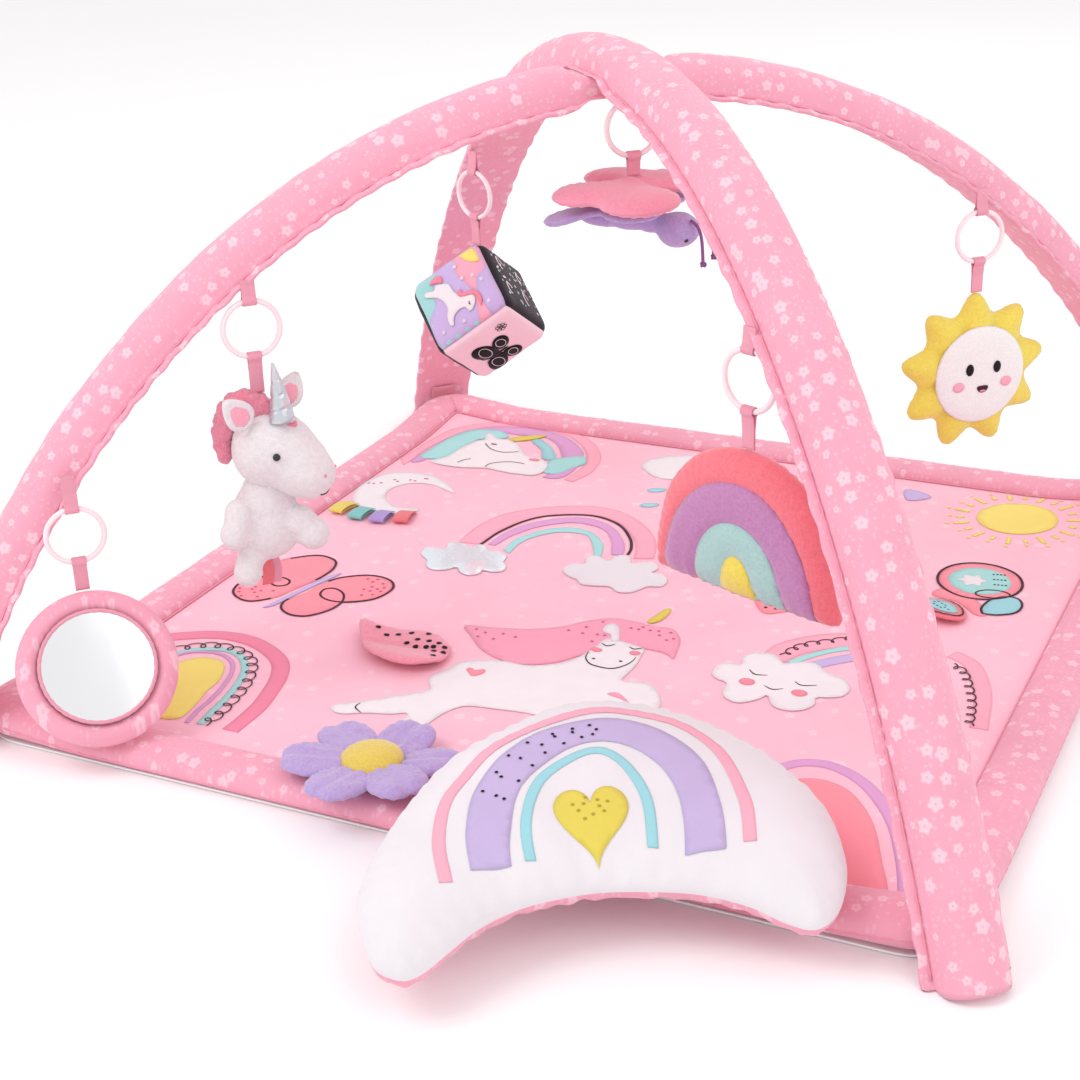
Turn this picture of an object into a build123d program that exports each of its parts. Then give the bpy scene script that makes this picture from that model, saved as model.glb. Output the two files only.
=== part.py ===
from build123d import *
import math
import os

# Baby activity play gym: a quilted square mat, two padded arches that cross
# over it, six hanging toys on plastic rings and a crescent tummy pillow.
# Millimetres. The origin is the middle of the mat's underside, +Z up,
# +Y towards the back of the mat, +X to the right.

os.makedirs("parts", exist_ok=True)

# ---------------------------------------------------------------- mat
mat_side = 900.0            # square mat, edge to edge
mat_corner_r = 50.0         # plan rounding of the mat's corners
bottom_t = 1.5              # white backing cloth
batting_t = 10.5            # quilt filling
top_t = 2.0                 # printed quilt top
border_w = 50.0             # padded border roll, plan width
border_top = 24.0           # height of the border roll above the floor
panel_top = bottom_t + batting_t + top_t     # 14 mm

# ---------------------------------------------------------------- arches
foot_r = 654.0              # horizontal distance of each foot from the centre
# quarter profiles, as cubic control points (radius, height)
lower_ctrl = [(foot_r, 0), (foot_r - 72.3, 217.8), (345.6, 520.1), (0, 520.1)]
upper_ctrl = [(foot_r, 0), (foot_r - 85.1, 205.7), (339.9, 535.3), (0, 535.3)]
arc_stations = [1.0, 0.84, 0.68, 0.52, 0.36, 0.19, 0.0]
flange_w = 72.0             # sleeve width over the two seam flanges
flange_t = 5.0
dome_w = 54.0               # width of the padded dome between the seams
inner_n = -16.0             # flat inner face, measured from the centreline
outer_n = 20.0              # crown of the dome
pole_r = 4.5
pole_wall = 1.5
bore_r = 5.0
lower_pole_shift = 0.0
upper_pole_shift = 3.0
cross_gap_low = 529.0       # the lower sleeve is pressed flat up to here
cross_gap_high = 530.0      # the upper sleeve starts here at the crossing
cross_under = 512.0         # and its underside is drawn up to here

# ---------------------------------------------------------------- toys
ring_R = 24.5               # ring centreline radius (54 mm over the tube)
ring_r = 2.5
loop_in = 3.6               # inside radius of a ribbon loop round the tube
loop_out = 4.6
ribbon_w = 12.0
ribbon_t = 1.6
tab_offset = 34.0           # tabs are sewn into the seam flange

lower_az = -45.0            # the way the lower arch's toys face
upper_az = -110.0           # the upper arch's toys hang turned from its plane

S2 = 2 ** -0.5


def unit(az):
    a = math.radians(az)
    return Vector(math.cos(a), math.sin(a), 0)


def bez(ctrl, t):
    u = 1 - t
    x = u**3 * ctrl[0][0] + 3 * u * u * t * ctrl[1][0] + 3 * u * t * t * ctrl[2][0] + t**3 * ctrl[3][0]
    z = u**3 * ctrl[0][1] + 3 * u * u * t * ctrl[1][1] + 3 * u * t * t * ctrl[2][1] + t**3 * ctrl[3][1]
    return x, z


def half_arcs(ctrl, et, sign):
    """Tangent arcs from the apex to one foot, then a short run below the floor."""
    pts = []
    for t in arc_stations:
        r, z = bez(ctrl, t)
        pts.append(Vector(et.X * r * sign, et.Y * r * sign, z))
    edges = []
    with BuildLine() as line:
        tan = Vector(et.X * sign, et.Y * sign, 0)
        for a, b in zip(pts, pts[1:]):
            arc = TangentArc(a, b, tangent=tan)
            tan = arc % 1
            edges.append(arc)
        tail = Line(pts[-1], pts[-1] + tan * 40)
        edges.append(tail)
    return line.line, [Edge(e.wrapped) for e in edges]


def apex_plane(ctrl, et, sign):
    en = Vector(et.Y, -et.X, 0)
    apex = Vector(0, 0, ctrl[3][1])
    xd = -en if sign > 0 else en
    return Plane(origin=apex, x_dir=xd, z_dir=et * sign)


# ================================================================ MAT
with BuildPart() as mat_bottom_cover:
    with BuildSketch(Plane.XY):
        RectangleRounded(mat_side, mat_side, mat_corner_r)
    extrude(amount=bottom_t)
mat_bottom_cover.part.label = "mat_bottom_cover"

inner_side = mat_side - 2 * border_w
with BuildPart() as mat_batting:
    with BuildSketch(Plane.XY.offset(bottom_t)):
        Rectangle(inner_side, inner_side)
    extrude(amount=batting_t)
mat_batting.part.label = "mat_batting"

with BuildPart() as mat_top_cover:
    with BuildSketch(Plane.XY.offset(bottom_t + batting_t)):
        Rectangle(inner_side, inner_side)
    extrude(amount=top_t)
mat_top_cover.part.label = "mat_top_cover"

H = mat_side / 2
W = H - border_w


def border(corners):
    with BuildPart() as roll:
        with BuildSketch(Plane.XY.offset(bottom_t)):
            with BuildLine():
                Polyline(*corners, close=True)
            make_face()
            RectangleRounded(mat_side, mat_side, mat_corner_r, mode=Mode.INTERSECT)
        extrude(amount=border_top - bottom_t)
        chamfer(roll.faces().sort_by(Axis.Z)[-1].edges(), 7)
    return roll.part


mat_border_front = border([(-H, -H), (H, -H), (W, -W), (-W, -W)])
mat_border_back = border([(-H, H), (H, H), (W, W), (-W, W)])
mat_border_left = border([(-H, -H), (-W, -W), (-W, W), (-H, H)])
mat_border_right = border([(H, -H), (W, -W), (W, W), (H, H)])
mat_border_front.label = "mat_border_front"
mat_border_back.label = "mat_border_back"
mat_border_left.label = "mat_border_left"
mat_border_right.label = "mat_border_right"

# four folded ribbon tags sewn under the printed moon
with BuildPart() as moon_tags:
    for i, (tx, ty) in enumerate([(-377, 91), (-352, 84), (-328, 84), (-306, 92)]):
        with BuildSketch(Plane.XY.offset(panel_top)):
            with Locations((tx, ty)):
                Rectangle(18, 34)
        extrude(amount=2.4)
moon_tags.part.label = "moon_tags"

# two crinkle clouds sewn on the quilt top
with BuildPart() as cloud_patches:
    with BuildSketch(Plane.XY.offset(panel_top)):
        with Locations((-200, 12)):
            Ellipse(40, 24)
        with Locations((-218, 2), (-182, 22), (-170, 2), (-196, -10)):
            Circle(17)
    extrude(amount=4.0)
    with BuildSketch(Plane.XY.offset(panel_top)):
        with Locations((-34, 33)):
            Ellipse(44, 24)
        with Locations((-58, 22), (-34, 50), (-8, 40), (-24, 14)):
            Circle(18)
    extrude(amount=4.0)
cloud_patches.part.label = "cloud_patches"

# plush flower, sewn down by its middle over the border seam
flower_c = (-57.0, -399.0)
with BuildPart() as flower_center:
    with BuildSketch(Plane.XY.offset(border_top + 0.0)):
        with Locations(flower_c):
            Circle(27)
    extrude(amount=22)
    fillet(flower_center.faces().sort_by(Axis.Z)[-1].edges(), 12)
flower_center.part.label = "flower_center"

with BuildPart() as flower_petals:
    with BuildSketch(Plane.XY.offset(border_top)):
        with Locations(flower_c):
            Circle(38)
            with PolarLocations(47, 6, start_angle=25):
                Circle(26)
            Circle(27, mode=Mode.SUBTRACT)
    extrude(amount=12)
    with BuildSketch(Plane.XY.offset(panel_top)):
        with Locations((flower_c[0], -383.0)):
            Rectangle(40, 24)
    extrude(amount=border_top - panel_top)
flower_petals.part.label = "flower_petals"

# padded tail flap of the printed pony: lies on the mat, sewn along one end
with BuildPart() as tail_flap:
    with BuildSketch(Plane.XY.offset(panel_top + 0.5)):
        with Locations((-148, -186)):
            Ellipse(50, 25)
        with Locations((-106, -186)):
            Rectangle(16, 22)
    extrude(amount=6.0)
tail_flap.part.label = "tail_flap"

# padded wing flap of the printed butterfly
wing_pl = Plane(origin=(308.5, 95.5, panel_top + 0.5), x_dir=(0.82, -0.575, 0), z_dir=(0, 0, 1))
with BuildPart() as wing_flap:
    with BuildSketch(wing_pl):
        with Locations((0, -24)):
            Ellipse(27, 21)
        with Locations((0, -4)):
            Rectangle(26, 8)
    extrude(amount=6.0)
wing_flap.part.label = "wing_flap"


# ================================================================ ARCHES
def section(plane):
    with BuildSketch(plane) as sk:
        with BuildLine():
            Polyline((-dome_w / 2, inner_n + flange_t), (-flange_w / 2, inner_n + flange_t),
                     (-flange_w / 2, inner_n), (flange_w / 2, inner_n),
                     (flange_w / 2, inner_n + flange_t), (dome_w / 2, inner_n + flange_t))
            ThreePointArc((dome_w / 2, inner_n + flange_t), (0, outer_n), (-dome_w / 2, inner_n + flange_t))
        make_face()
    return sk.sketch


def round_section(plane, shift, r_out, r_in=0.0):
    with BuildSketch(plane) as sk:
        with Locations((0, shift)):
            Circle(r_out)
            if r_in > 0:
                Circle(r_in, mode=Mode.SUBTRACT)
    return sk.sketch


def slab_section(plane):
    """Everything outward of the sleeve's inner face; trims the sewn tabs."""
    with BuildSketch(plane) as sk:
        with Locations((0, inner_n + 45)):
            Rectangle(110, 90)
    return sk.sketch


def swept_pair(ctrl, et, maker):
    with BuildPart() as body:
        for sign in (1, -1):
            path, _ = half_arcs(ctrl, et, sign)
            sweep(maker(apex_plane(ctrl, et, sign)), path=path)
    return body.part


def arch(ctrl, et, shift, name, cut_low, cut_high, under):
    en = Vector(et.Y, -et.X, 0)
    with BuildPart() as bore:
        add(swept_pair(ctrl, et, lambda p: round_section(p, shift, bore_r)))
        with BuildSketch(Plane.XY.offset(-80)):
            Rectangle(2000, 2000)
        extrude(amount=82.5, mode=Mode.SUBTRACT)
    with BuildPart() as sleeve:
        add(swept_pair(ctrl, et, section))
        add(bore.part, mode=Mode.SUBTRACT)
        with BuildSketch(Plane.XY.offset(-80)):
            Rectangle(2000, 2000)
        extrude(amount=80, mode=Mode.SUBTRACT)
        cross_pl = Plane(origin=(0, 0, cut_low), x_dir=et, z_dir=(0, 0, 1))
        with BuildSketch(cross_pl):
            Rectangle(84, 84)
        extrude(amount=cut_high - cut_low, mode=Mode.SUBTRACT)
        if under:
            with BuildSketch(Plane(origin=(0, 0, under - 60), x_dir=et, z_dir=(0, 0, 1))):
                Rectangle(110, 90)
            extrude(amount=60, mode=Mode.SUBTRACT)
    sleeve.part.label = name + "_arch_sleeve"

    # three pole segments joined by plain spigots; two plastic plugs at the feet
    pole_solids = []
    spigots = []
    caps = []
    n_mid = 2
    with BuildPart() as mid:
        for sign in (1, -1):
            _, edges = half_arcs(ctrl, et, sign)
            wire = Wire(edges[:n_mid])
            sweep(round_section(apex_plane(ctrl, et, sign), shift, pole_r, pole_r - pole_wall), path=wire)
    pole_solids.append(mid.part.solids()[0])
    for sign in (1, -1):
        _, edges = half_arcs(ctrl, et, sign)
        wire = Wire(edges[n_mid:])
        p = edges[n_mid] @ 0
        t = edges[n_mid] % 0
        xd = -en if sign > 0 else en
        pl = Plane(origin=p, x_dir=xd, z_dir=t)
        with BuildPart() as side:
            sweep(round_section(pl, shift, pole_r, pole_r - pole_wall), path=wire)
            with BuildSketch(Plane.XY.offset(-80)):
                Rectangle(2000, 2000)
            extrude(amount=94, mode=Mode.SUBTRACT)
        pole_solids.append(side.part.solids()[0])
        # spigot: 20 mm each side of the joint
        e1, e2 = edges[n_mid - 1], edges[n_mid]
        a = e1.trim(1 - 20 / e1.length, 1)
        b = e2.trim(0, 20 / e2.length)
        p0, t0 = a @ 0, a % 0
        pl0 = Plane(origin=p0, x_dir=xd, z_dir=t0)
        with BuildPart() as spig:
            sweep(round_section(pl0, shift, pole_r - pole_wall - 0.05), path=Wire([a, b]))
        spigots.append(spig.part.solids()[0])
        # plug in the foot of the sleeve
        ef = edges[-2]
        last = ef.trim(0.5, 1)
        pf, tf = last @ 0, last % 0
        plf = Plane(origin=pf, x_dir=xd, z_dir=tf)
        with BuildPart() as plug:
            sweep(round_section(plf, shift, bore_r - 0.05), path=Wire([last, edges[-1]]))
            with BuildSketch(Plane.XY.offset(-80)):
                Rectangle(2000, 2000)
            extrude(amount=82.5, mode=Mode.SUBTRACT)
            with BuildSketch(Plane.XY.offset(14)):
                Rectangle(2000, 2000)
            extrude(amount=300, mode=Mode.SUBTRACT)
        caps.append(plug.part.solids()[0])
    return sleeve.part, pole_solids, spigots, caps


lower_et = Vector(S2, S2, 0)
upper_et = Vector(S2, -S2, 0)
lower_sleeve, lower_pole_list, lower_spigot_list, lower_cap_list = arch(
    lower_ctrl, lower_et, lower_pole_shift, "lower", cross_gap_low, 700, cross_under)
upper_sleeve, upper_pole_list, upper_spigot_list, upper_cap_list = arch(
    upper_ctrl, upper_et, upper_pole_shift, "upper", 400, cross_gap_high, 0)

lower_slab = swept_pair(lower_ctrl, lower_et, slab_section)
upper_slab = swept_pair(upper_ctrl, upper_et, slab_section)


def group(name, solids):
    g = Compound(children=list(solids))
    g.label = name
    return g


lower_arch_poles = group("lower_arch_poles", lower_pole_list)
upper_arch_poles = group("upper_arch_poles", upper_pole_list)
lower_arch_spigots = group("lower_arch_spigots", lower_spigot_list)
upper_arch_spigots = group("upper_arch_spigots", upper_spigot_list)
lower_arch_foot_plugs = group("lower_arch_foot_plugs", lower_cap_list)
upper_arch_foot_plugs = group("upper_arch_foot_plugs", upper_cap_list)

# ---------------------------------------------------------------- corner straps
with BuildPart() as mat_envelope:
    with BuildSketch(Plane.XY):
        RectangleRounded(mat_side, mat_side, mat_corner_r)
    extrude(amount=60)


def leg_face(ctrl, z):
    """Radius of the sleeve's inner face at a height, and the leg's slope."""
    lo, hi = 0.0, 0.5
    for _ in range(60):
        t = (lo + hi) / 2
        r, h = bez(ctrl, t)
        r2, h2 = bez(ctrl, t + 1e-4)
        dr, dh = r2 - r, h2 - h
        ln = math.hypot(dr, dh)
        nx, nz = -dh / ln, dr / ln         # inward normal
        if nx > 0:
            nx, nz = -nx, -nz
        fz = h + nz * (-inner_n)
        if fz < z:
            lo = t
        else:
            hi = t
    return r + nx * (-inner_n), math.atan2(-dr, dh)


def strap_profile(ctrl, t0, t1):
    """Strip standing t0..t1 mm in front of the leg's inner face, z 6 to 40."""
    pts_a, pts_b = [], []
    for z in (6.0, 40.0):
        r, slope = leg_face(ctrl, z)
        nx, nz = -math.cos(slope), -math.sin(slope)
        pts_a.append((r + nx * t0, z + nz * t0))
        pts_b.append((r + nx * t1, z + nz * t1))
    return pts_a, pts_b


strap_w = 30.0
straps, low_pads, up_pads = [], [], []
for az, ctrl, bucket in ((45, lower_ctrl, low_pads), (225, lower_ctrl, low_pads),
                         (-45, upper_ctrl, up_pads), (135, upper_ctrl, up_pads)):
    d = unit(az)
    side = Vector(-d.Y, d.X, 0)
    pl = Plane(origin=side * (strap_w / 2), x_dir=d, z_dir=-side)
    # z_dir x x_dir gives +Z, so the profile reads (radius, height)
    a, b = strap_profile(ctrl, 0.6, 2.1)
    with BuildPart() as pad:
        with BuildSketch(pl):
            with BuildLine():
                Polyline(a[0], a[1], b[1], b[0], close=True)
            make_face()
        extrude(amount=strap_w)
    bucket.append(pad.part.solids()[0])
    a, b = strap_profile(ctrl, 2.6, 4.2)
    with BuildPart() as strap:
        with BuildSketch(pl):
            with BuildLine():
                Polyline((596, 3.0), (a[0][0] - 1.0, 3.0), a[0], a[1], b[1], (b[0][0], b[0][1]),
                         (b[0][0] - 0.6, 4.8), (596, 4.8), close=True)
            make_face()
        extrude(amount=strap_w)
        add(mat_envelope.part, mode=Mode.SUBTRACT)
    straps.append(strap.part.solids()[0])
corner_straps = group("corner_straps", straps)
lower_leg_pads = group("lower_leg_pads", low_pads)
upper_leg_pads = group("upper_leg_pads", up_pads)


# ================================================================ HANGERS
def face_plane(origin, az):
    """x along the ring, y up, z towards the viewer's side."""
    n = unit(az)
    return Plane(origin=origin, x_dir=Vector(-n.Y, n.X, 0), z_dir=n)


def local(origin, az, x, y, z):
    return face_plane(origin, az).from_local_coords((x, y, z))


def make_ring(name, c, az):
    n = unit(az)
    with BuildPart() as ring:
        with BuildSketch(Plane(origin=c, x_dir=Vector(-n.Y, n.X, 0), z_dir=(0, 0, 1))):
            with Locations((ring_R, 0)):
                Circle(ring_r)
        revolve(axis=Axis(c, n))
    ring.part.label = name
    return ring.part


def make_tab(c, az, slab, reach, side=0.0):
    """Loop of ribbon from the sleeve's seam flange round the ring's top."""
    top = local(c, az, 0, ring_R, 0)
    # profile plane: x towards the viewer, y up
    n = unit(az)
    pl = Plane(origin=top, x_dir=n, z_dir=n.cross(Vector(0, 0, 1)))
    with BuildPart() as tab:
        with BuildSketch(pl):
            if side:
                # strip runs down the flange's edge and meets the loop's flank
                with Locations((side, reach / 2)):
                    Rectangle(ribbon_t, reach)
            else:
                with Locations((0, reach / 2 + loop_in + 0.3)):
                    Rectangle(ribbon_t, reach)
            Circle(loop_out)
            Circle(loop_in, mode=Mode.SUBTRACT)
        extrude(amount=ribbon_w / 2, both=True)
        if slab is not None:
            add(slab, mode=Mode.SUBTRACT)
    return tab.part.solids().sort_by(SortBy.VOLUME)[-1]


def make_ribbon(name, c, az, length):
    low = local(c, az, 0, -ring_R, 0)
    n = unit(az)
    pl = Plane(origin=low, x_dir=n, z_dir=n.cross(Vector(0, 0, 1)))
    with BuildPart() as rib:
        with BuildSketch(pl):
            with Locations((0, -(length + loop_in + 0.3) / 2)):
                Rectangle(ribbon_t, length - loop_in - 0.3)
            Circle(loop_out)
            Circle(loop_in, mode=Mode.SUBTRACT)
        extrude(amount=ribbon_w / 2, both=True)
    rib.part.label = name
    return rib.part


# ring centres and ribbon lengths below the ring's lower centreline
mirror_c = Vector(-339.5, -394.6, 189.0)
unicorn_c = Vector(-223.7, -271.8, 348.6)
butterfly_c = Vector(24.0, -24.0, 484.0)
sun_c = Vector(275.3, 227.3, 344.5)
cube_c = Vector(-262.0, 214.0, 348.0)
rainbow_c = Vector(221.5, -269.5, 354.6)
mirror_ribbon_len = 27.0
unicorn_ribbon_len = 33.0
butterfly_ribbon_len = 18.0
sun_ribbon_len = 31.0
cube_ribbon_len = 30.0
rainbow_ribbon_len = 31.0

mirror_ring = make_ring("mirror_ring", mirror_c, lower_az)
unicorn_ring = make_ring("unicorn_ring", unicorn_c, lower_az)
butterfly_ring = make_ring("butterfly_ring", butterfly_c, lower_az)
sun_ring = make_ring("sun_ring", sun_c, lower_az)
cube_ring = make_ring("cube_ring", cube_c, upper_az)
rainbow_ring = make_ring("rainbow_ring", rainbow_c, upper_az)

lower_arch_tabs = group("lower_arch_tabs", [
    make_tab(mirror_c, lower_az, lower_slab, 60, -(loop_out - ribbon_t / 2)),
    make_tab(unicorn_c, lower_az, lower_slab, 45),
    make_tab(butterfly_c, lower_az, None, cross_under - butterfly_c.Z - ring_R - loop_in - 0.3),
    make_tab(sun_c, lower_az, lower_slab, 45)])
upper_arch_tabs = group("upper_arch_tabs", [
    make_tab(cube_c, upper_az, upper_slab, 50), make_tab(rainbow_c, upper_az, upper_slab, 50)])

mirror_ribbon = make_ribbon("mirror_ribbon", mirror_c, lower_az, mirror_ribbon_len)
unicorn_ribbon = make_ribbon("unicorn_ribbon", unicorn_c, lower_az, unicorn_ribbon_len)
butterfly_ribbon = make_ribbon("butterfly_ribbon", butterfly_c, lower_az, butterfly_ribbon_len)
sun_ribbon = make_ribbon("sun_ribbon", sun_c, lower_az, sun_ribbon_len)
cube_ribbon = make_ribbon("cube_ribbon", cube_c, upper_az, cube_ribbon_len)
rainbow_ribbon = make_ribbon("rainbow_ribbon", rainbow_c, upper_az, rainbow_ribbon_len)


def hang_point(c, az, length):
    return local(c, az, 0, -ring_R - length, 0)


# ================================================================ MIRROR
# padded ring with a shatterproof mirror disc; it leans out, its lower rim
# resting on the mat's front border
mirror_tilt = 37.0
mirror_D = 138.0
mirror_t = 20.0
mp = hang_point(mirror_c, lower_az, mirror_ribbon_len)
mn = unit(lower_az)
mt = math.radians(mirror_tilt)
m_down = mn * math.sin(mt) + Vector(0, 0, -math.cos(mt))
m_face = mn * math.cos(mt) + Vector(0, 0, math.sin(mt))
m_centre = mp + m_down * (mirror_D / 2 + 0.8)
m_plane = Plane(origin=m_centre, x_dir=Vector(-mn.Y, mn.X, 0), z_dir=m_face)
with BuildPart() as mirror_frame:
    with BuildSketch(m_plane.offset(-mirror_t / 2)):
        Circle(mirror_D / 2)
    extrude(amount=mirror_t)
    fillet(mirror_frame.edges(), 9)
    with BuildSketch(m_plane.offset(mirror_t / 2 - 3.0)):
        Circle(49)
    extrude(amount=5, mode=Mode.SUBTRACT)
mirror_frame.part.label = "mirror_frame"
with BuildPart() as mirror_disc:
    with BuildSketch(m_plane.offset(mirror_t / 2 - 3.0)):
        Circle(48.5)
    extrude(amount=1.5)
mirror_disc.part.label = "mirror_disc"

# ================================================================ UNICORN PLUSH
up = hang_point(unicorn_c, lower_az, unicorn_ribbon_len)


def upl(x, y, z, yaw=0.0, pitch=0.0):
    base = face_plane(unicorn_c, lower_az).location
    return base * Pos(x, y, z) * Rot(0, yaw, 0) * Rot(0, 0, pitch)


head_pl = upl(8, -108, 4, -35, -12)
skull_r, muzzle_r, muzzle_x = 38.0, 22.0, 36.0
slope = math.acos((skull_r - muzzle_r) / muzzle_x)     # where the cheek line touches both rounds
with BuildPart() as head_form:
    # turned profile, muzzle along +X
    with BuildSketch(Plane.XY):
        with BuildLine():
            touch = (skull_r * math.cos(slope), skull_r * math.sin(slope))
            nose = (muzzle_x + muzzle_r * math.cos(slope), muzzle_r * math.sin(slope))
            tip = (muzzle_x + muzzle_r * math.cos(slope / 2), muzzle_r * math.sin(slope / 2))
            ThreePointArc((-skull_r, 0), (0, skull_r), touch)
            Line(touch, nose)
            ThreePointArc(nose, tip, (muzzle_x + muzzle_r, 0))
            Line((muzzle_x + muzzle_r, 0), (-skull_r, 0))
        make_face()
    revolve(axis=Axis.X)
with BuildPart() as unicorn_head:
    add(head_pl * head_form.part)
unicorn_head.part.label = "unicorn_head"

with BuildPart() as unicorn_body:
    add(upl(-4, -178, 2) * Sphere(35, mode=Mode.PRIVATE))
    add(upl(-4, -157, 2) * Sphere(27, mode=Mode.PRIVATE))
    # four stuffed legs
    for lx, ly, lz, lr in ((-26, -214, 18, 14), (-8, -212, -18, 14), (30, -186, 26, 15), (-36, -170, 24, 14)):
        add(upl(lx, ly, lz) * Sphere(lr, mode=Mode.PRIVATE))
    add(unicorn_head.part, mode=Mode.SUBTRACT)
unicorn_body.part.label = "unicorn_body"

with BuildPart() as unicorn_horn:
    hp = upl(17, -72, 22)
    add(hp * Rot(-90, 0, 0) * Pos(0, 0, 24) * Cone(11, 1.5, 48, mode=Mode.PRIVATE))
    add(unicorn_head.part, mode=Mode.SUBTRACT)
unicorn_horn.part.label = "unicorn_horn"

with BuildPart() as unicorn_mane:
    # thick tuft of pile down the nape, standing just clear of the head
    add(upl(-38.6, -100, -12) * Box(16, 56, 30, mode=Mode.PRIVATE))
unicorn_mane.part.label = "unicorn_mane"

with BuildPart() as unicorn_ears:
    add(upl(-34, -74, 22) * Sphere(13, mode=Mode.PRIVATE))
    add(upl(34, -68, -4) * Sphere(12, mode=Mode.PRIVATE))
    add(unicorn_head.part, mode=Mode.SUBTRACT)
unicorn_ears.part.label = "unicorn_ears"

with BuildPart() as unicorn_tail:
    add(upl(-2, -216, 0) * Box(9, 40, 3, mode=Mode.PRIVATE))
    add(unicorn_body.part, mode=Mode.SUBTRACT)
unicorn_tail.part.label = "unicorn_tail"

# ================================================================ BUTTERFLY
bp = hang_point(butterfly_c, lower_az, butterfly_ribbon_len)
wing_top = bp.Z - 0.8
with BuildPart() as butterfly_wings_top:
    with BuildSketch(Plane(origin=(bp.X, bp.Y, wing_top - 16))):
        with Locations((22, -40), (22, 40)):
            Circle(38)
        with Locations((-32, -34), (-32, 34)):
            Circle(30)
        Rectangle(70, 60)
    extrude(amount=16)
butterfly_wings_top.part.label = "butterfly_wings_top"
with BuildPart() as butterfly_wings_low:
    with BuildSketch(Plane(origin=(bp.X, bp.Y, wing_top - 28))):
        with Locations((-46, -30), (-46, 30)):
            Circle(26)
        with Locations((10, -28), (10, 28)):
            Circle(28)
        with Locations((-18, 0)):
            Rectangle(70, 50)
    extrude(amount=12)
butterfly_wings_low.part.label = "butterfly_wings_low"
with BuildPart() as butterfly_body:
    with BuildSketch(Plane(origin=(bp.X - 52, bp.Y, wing_top - 38), x_dir=(0, 1, 0), z_dir=(1, 0, 0))):
        Circle(10)
    extrude(amount=80)
    with Locations((bp.X + 42, bp.Y, wing_top - 41)):
        Sphere(20)
    with BuildSketch(Plane(origin=(bp.X, bp.Y, wing_top - 28))):
        Rectangle(300, 300)
    extrude(amount=60, mode=Mode.SUBTRACT)
butterfly_body.part.label = "butterfly_body"

antenna_d = 3.0
antenna_routes = []
antenna_parts = []
knots = []
for k, side in enumerate((-1, 1)):
    x0 = bp.X + 57
    y0 = bp.Y + side * 8
    z0 = wing_top - 33
    route = [Vector(x0, y0, z0), Vector(x0 + 7, y0 + side * 1.5, z0 - 3.0), Vector(x0 + 11, y0 + side * 2.5, z0 - 12),
             Vector(x0 + 13, y0 + side * 4.5, z0 - 24), Vector(x0 + 13.5, y0 + side * 5.0, z0 - 35)]
    radii = []
    for a, b, c in zip(route, route[1:], route[2:]):
        turn = math.radians((b - a).get_angle(c - b))
        radii.append(0.45 * min((b - a).length, (c - b).length) / math.tan(turn / 2))
    print("antenna", k, "radii mm", [round(r, 1) for r in radii],
          "runs", [round((b - a).length, 1) for a, b in zip(route, route[1:])])
    with BuildLine() as ln:
        FilletPolyline(*route, radius=radii)
    with BuildPart() as ant:
        with BuildSketch(Plane(origin=route[0], z_dir=route[1] - route[0])):
            Circle(antenna_d / 2)
        sweep(path=ln.wires()[0])
        add(butterfly_body.part, mode=Mode.SUBTRACT)
    print("antenna volume", round(ant.part.volume, 1), "section x length",
          round(math.pi * antenna_d ** 2 / 4 * ln.wires()[0].length, 1), "length", round(ln.wires()[0].length, 1))
    antenna_parts.append(ant.part.solids().sort_by(SortBy.VOLUME)[-1])
    kp = route[-1] + (route[-1] - route[-2]).normalized() * 3.4
    with BuildPart() as knot:
        with Locations(kp):
            Sphere(3.6)
        add(ant.part, mode=Mode.SUBTRACT)
    knots.append(knot.part.solids()[0])
    antenna_routes.append(route)
antenna_left, antenna_right = antenna_parts
antenna_left.label = "antenna_left"
antenna_right.label = "antenna_right"
antenna_knots = group("antenna_knots", knots)

# ================================================================ SUN
sp = hang_point(sun_c, lower_az, sun_ribbon_len)
sun_mid = sp + Vector(0, 0, -78.8)
sun_pl = face_plane(sun_mid, lower_az)
with BuildPart() as sun_rays:
    with BuildSketch(sun_pl.offset(-16)):
        Circle(62)
        with PolarLocations(60, 9, start_angle=90):
            Circle(18)
    extrude(amount=32)
sun_rays.part.label = "sun_rays"
with BuildPart() as sun_face:
    with BuildSketch(sun_pl.offset(16)):
        Circle(50)
    extrude(amount=5)
    fillet(sun_face.faces().sort_by(Axis(sun_mid, unit(lower_az)))[-1].edges(), 4)
sun_face.part.label = "sun_face"

# ================================================================ CUBE
cube_side = 92.0
cube_fillet = 12.0
cp = hang_point(cube_c, upper_az, cube_ribbon_len)
cube_az = [-158.5, -38.5, 81.5]
cube_e = [Vector(math.cos(math.radians(a)) * math.sqrt(2 / 3), math.sin(math.radians(a)) * math.sqrt(2 / 3),
                 -1 / math.sqrt(3)) for a in cube_az]
half_diag = cube_side / 2 * math.sqrt(3) - cube_fillet * (math.sqrt(3) - 1)
cube_mid = cp + Vector(0, 0, -half_diag - 0.8)
cube_pl = Plane(origin=cube_mid, x_dir=cube_e[0], z_dir=cube_e[0].cross(cube_e[1]))
with BuildPart() as cube_core:
    with BuildSketch(cube_pl.offset(-cube_side / 2 + 1.2)):
        Rectangle(cube_side - 2.4, cube_side - 2.4)
    extrude(amount=cube_side - 2.4)
    fillet(cube_core.edges(), cube_fillet - 1.2)
with BuildPart() as cube_cover:
    with BuildSketch(cube_pl.offset(-cube_side / 2)):
        Rectangle(cube_side, cube_side)
    extrude(amount=cube_side)
    fillet(cube_cover.edges(), cube_fillet)
    add(cube_core.part, mode=Mode.SUBTRACT)
cube_cover.part.label = "cube_cover"
with BuildPart() as cube_chime:
    with BuildSketch(cube_pl.offset(-14)):
        Circle(12)
    extrude(amount=28)
    fillet(cube_chime.edges(), 3)
cube_chime.part.label = "cube_chime"
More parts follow.
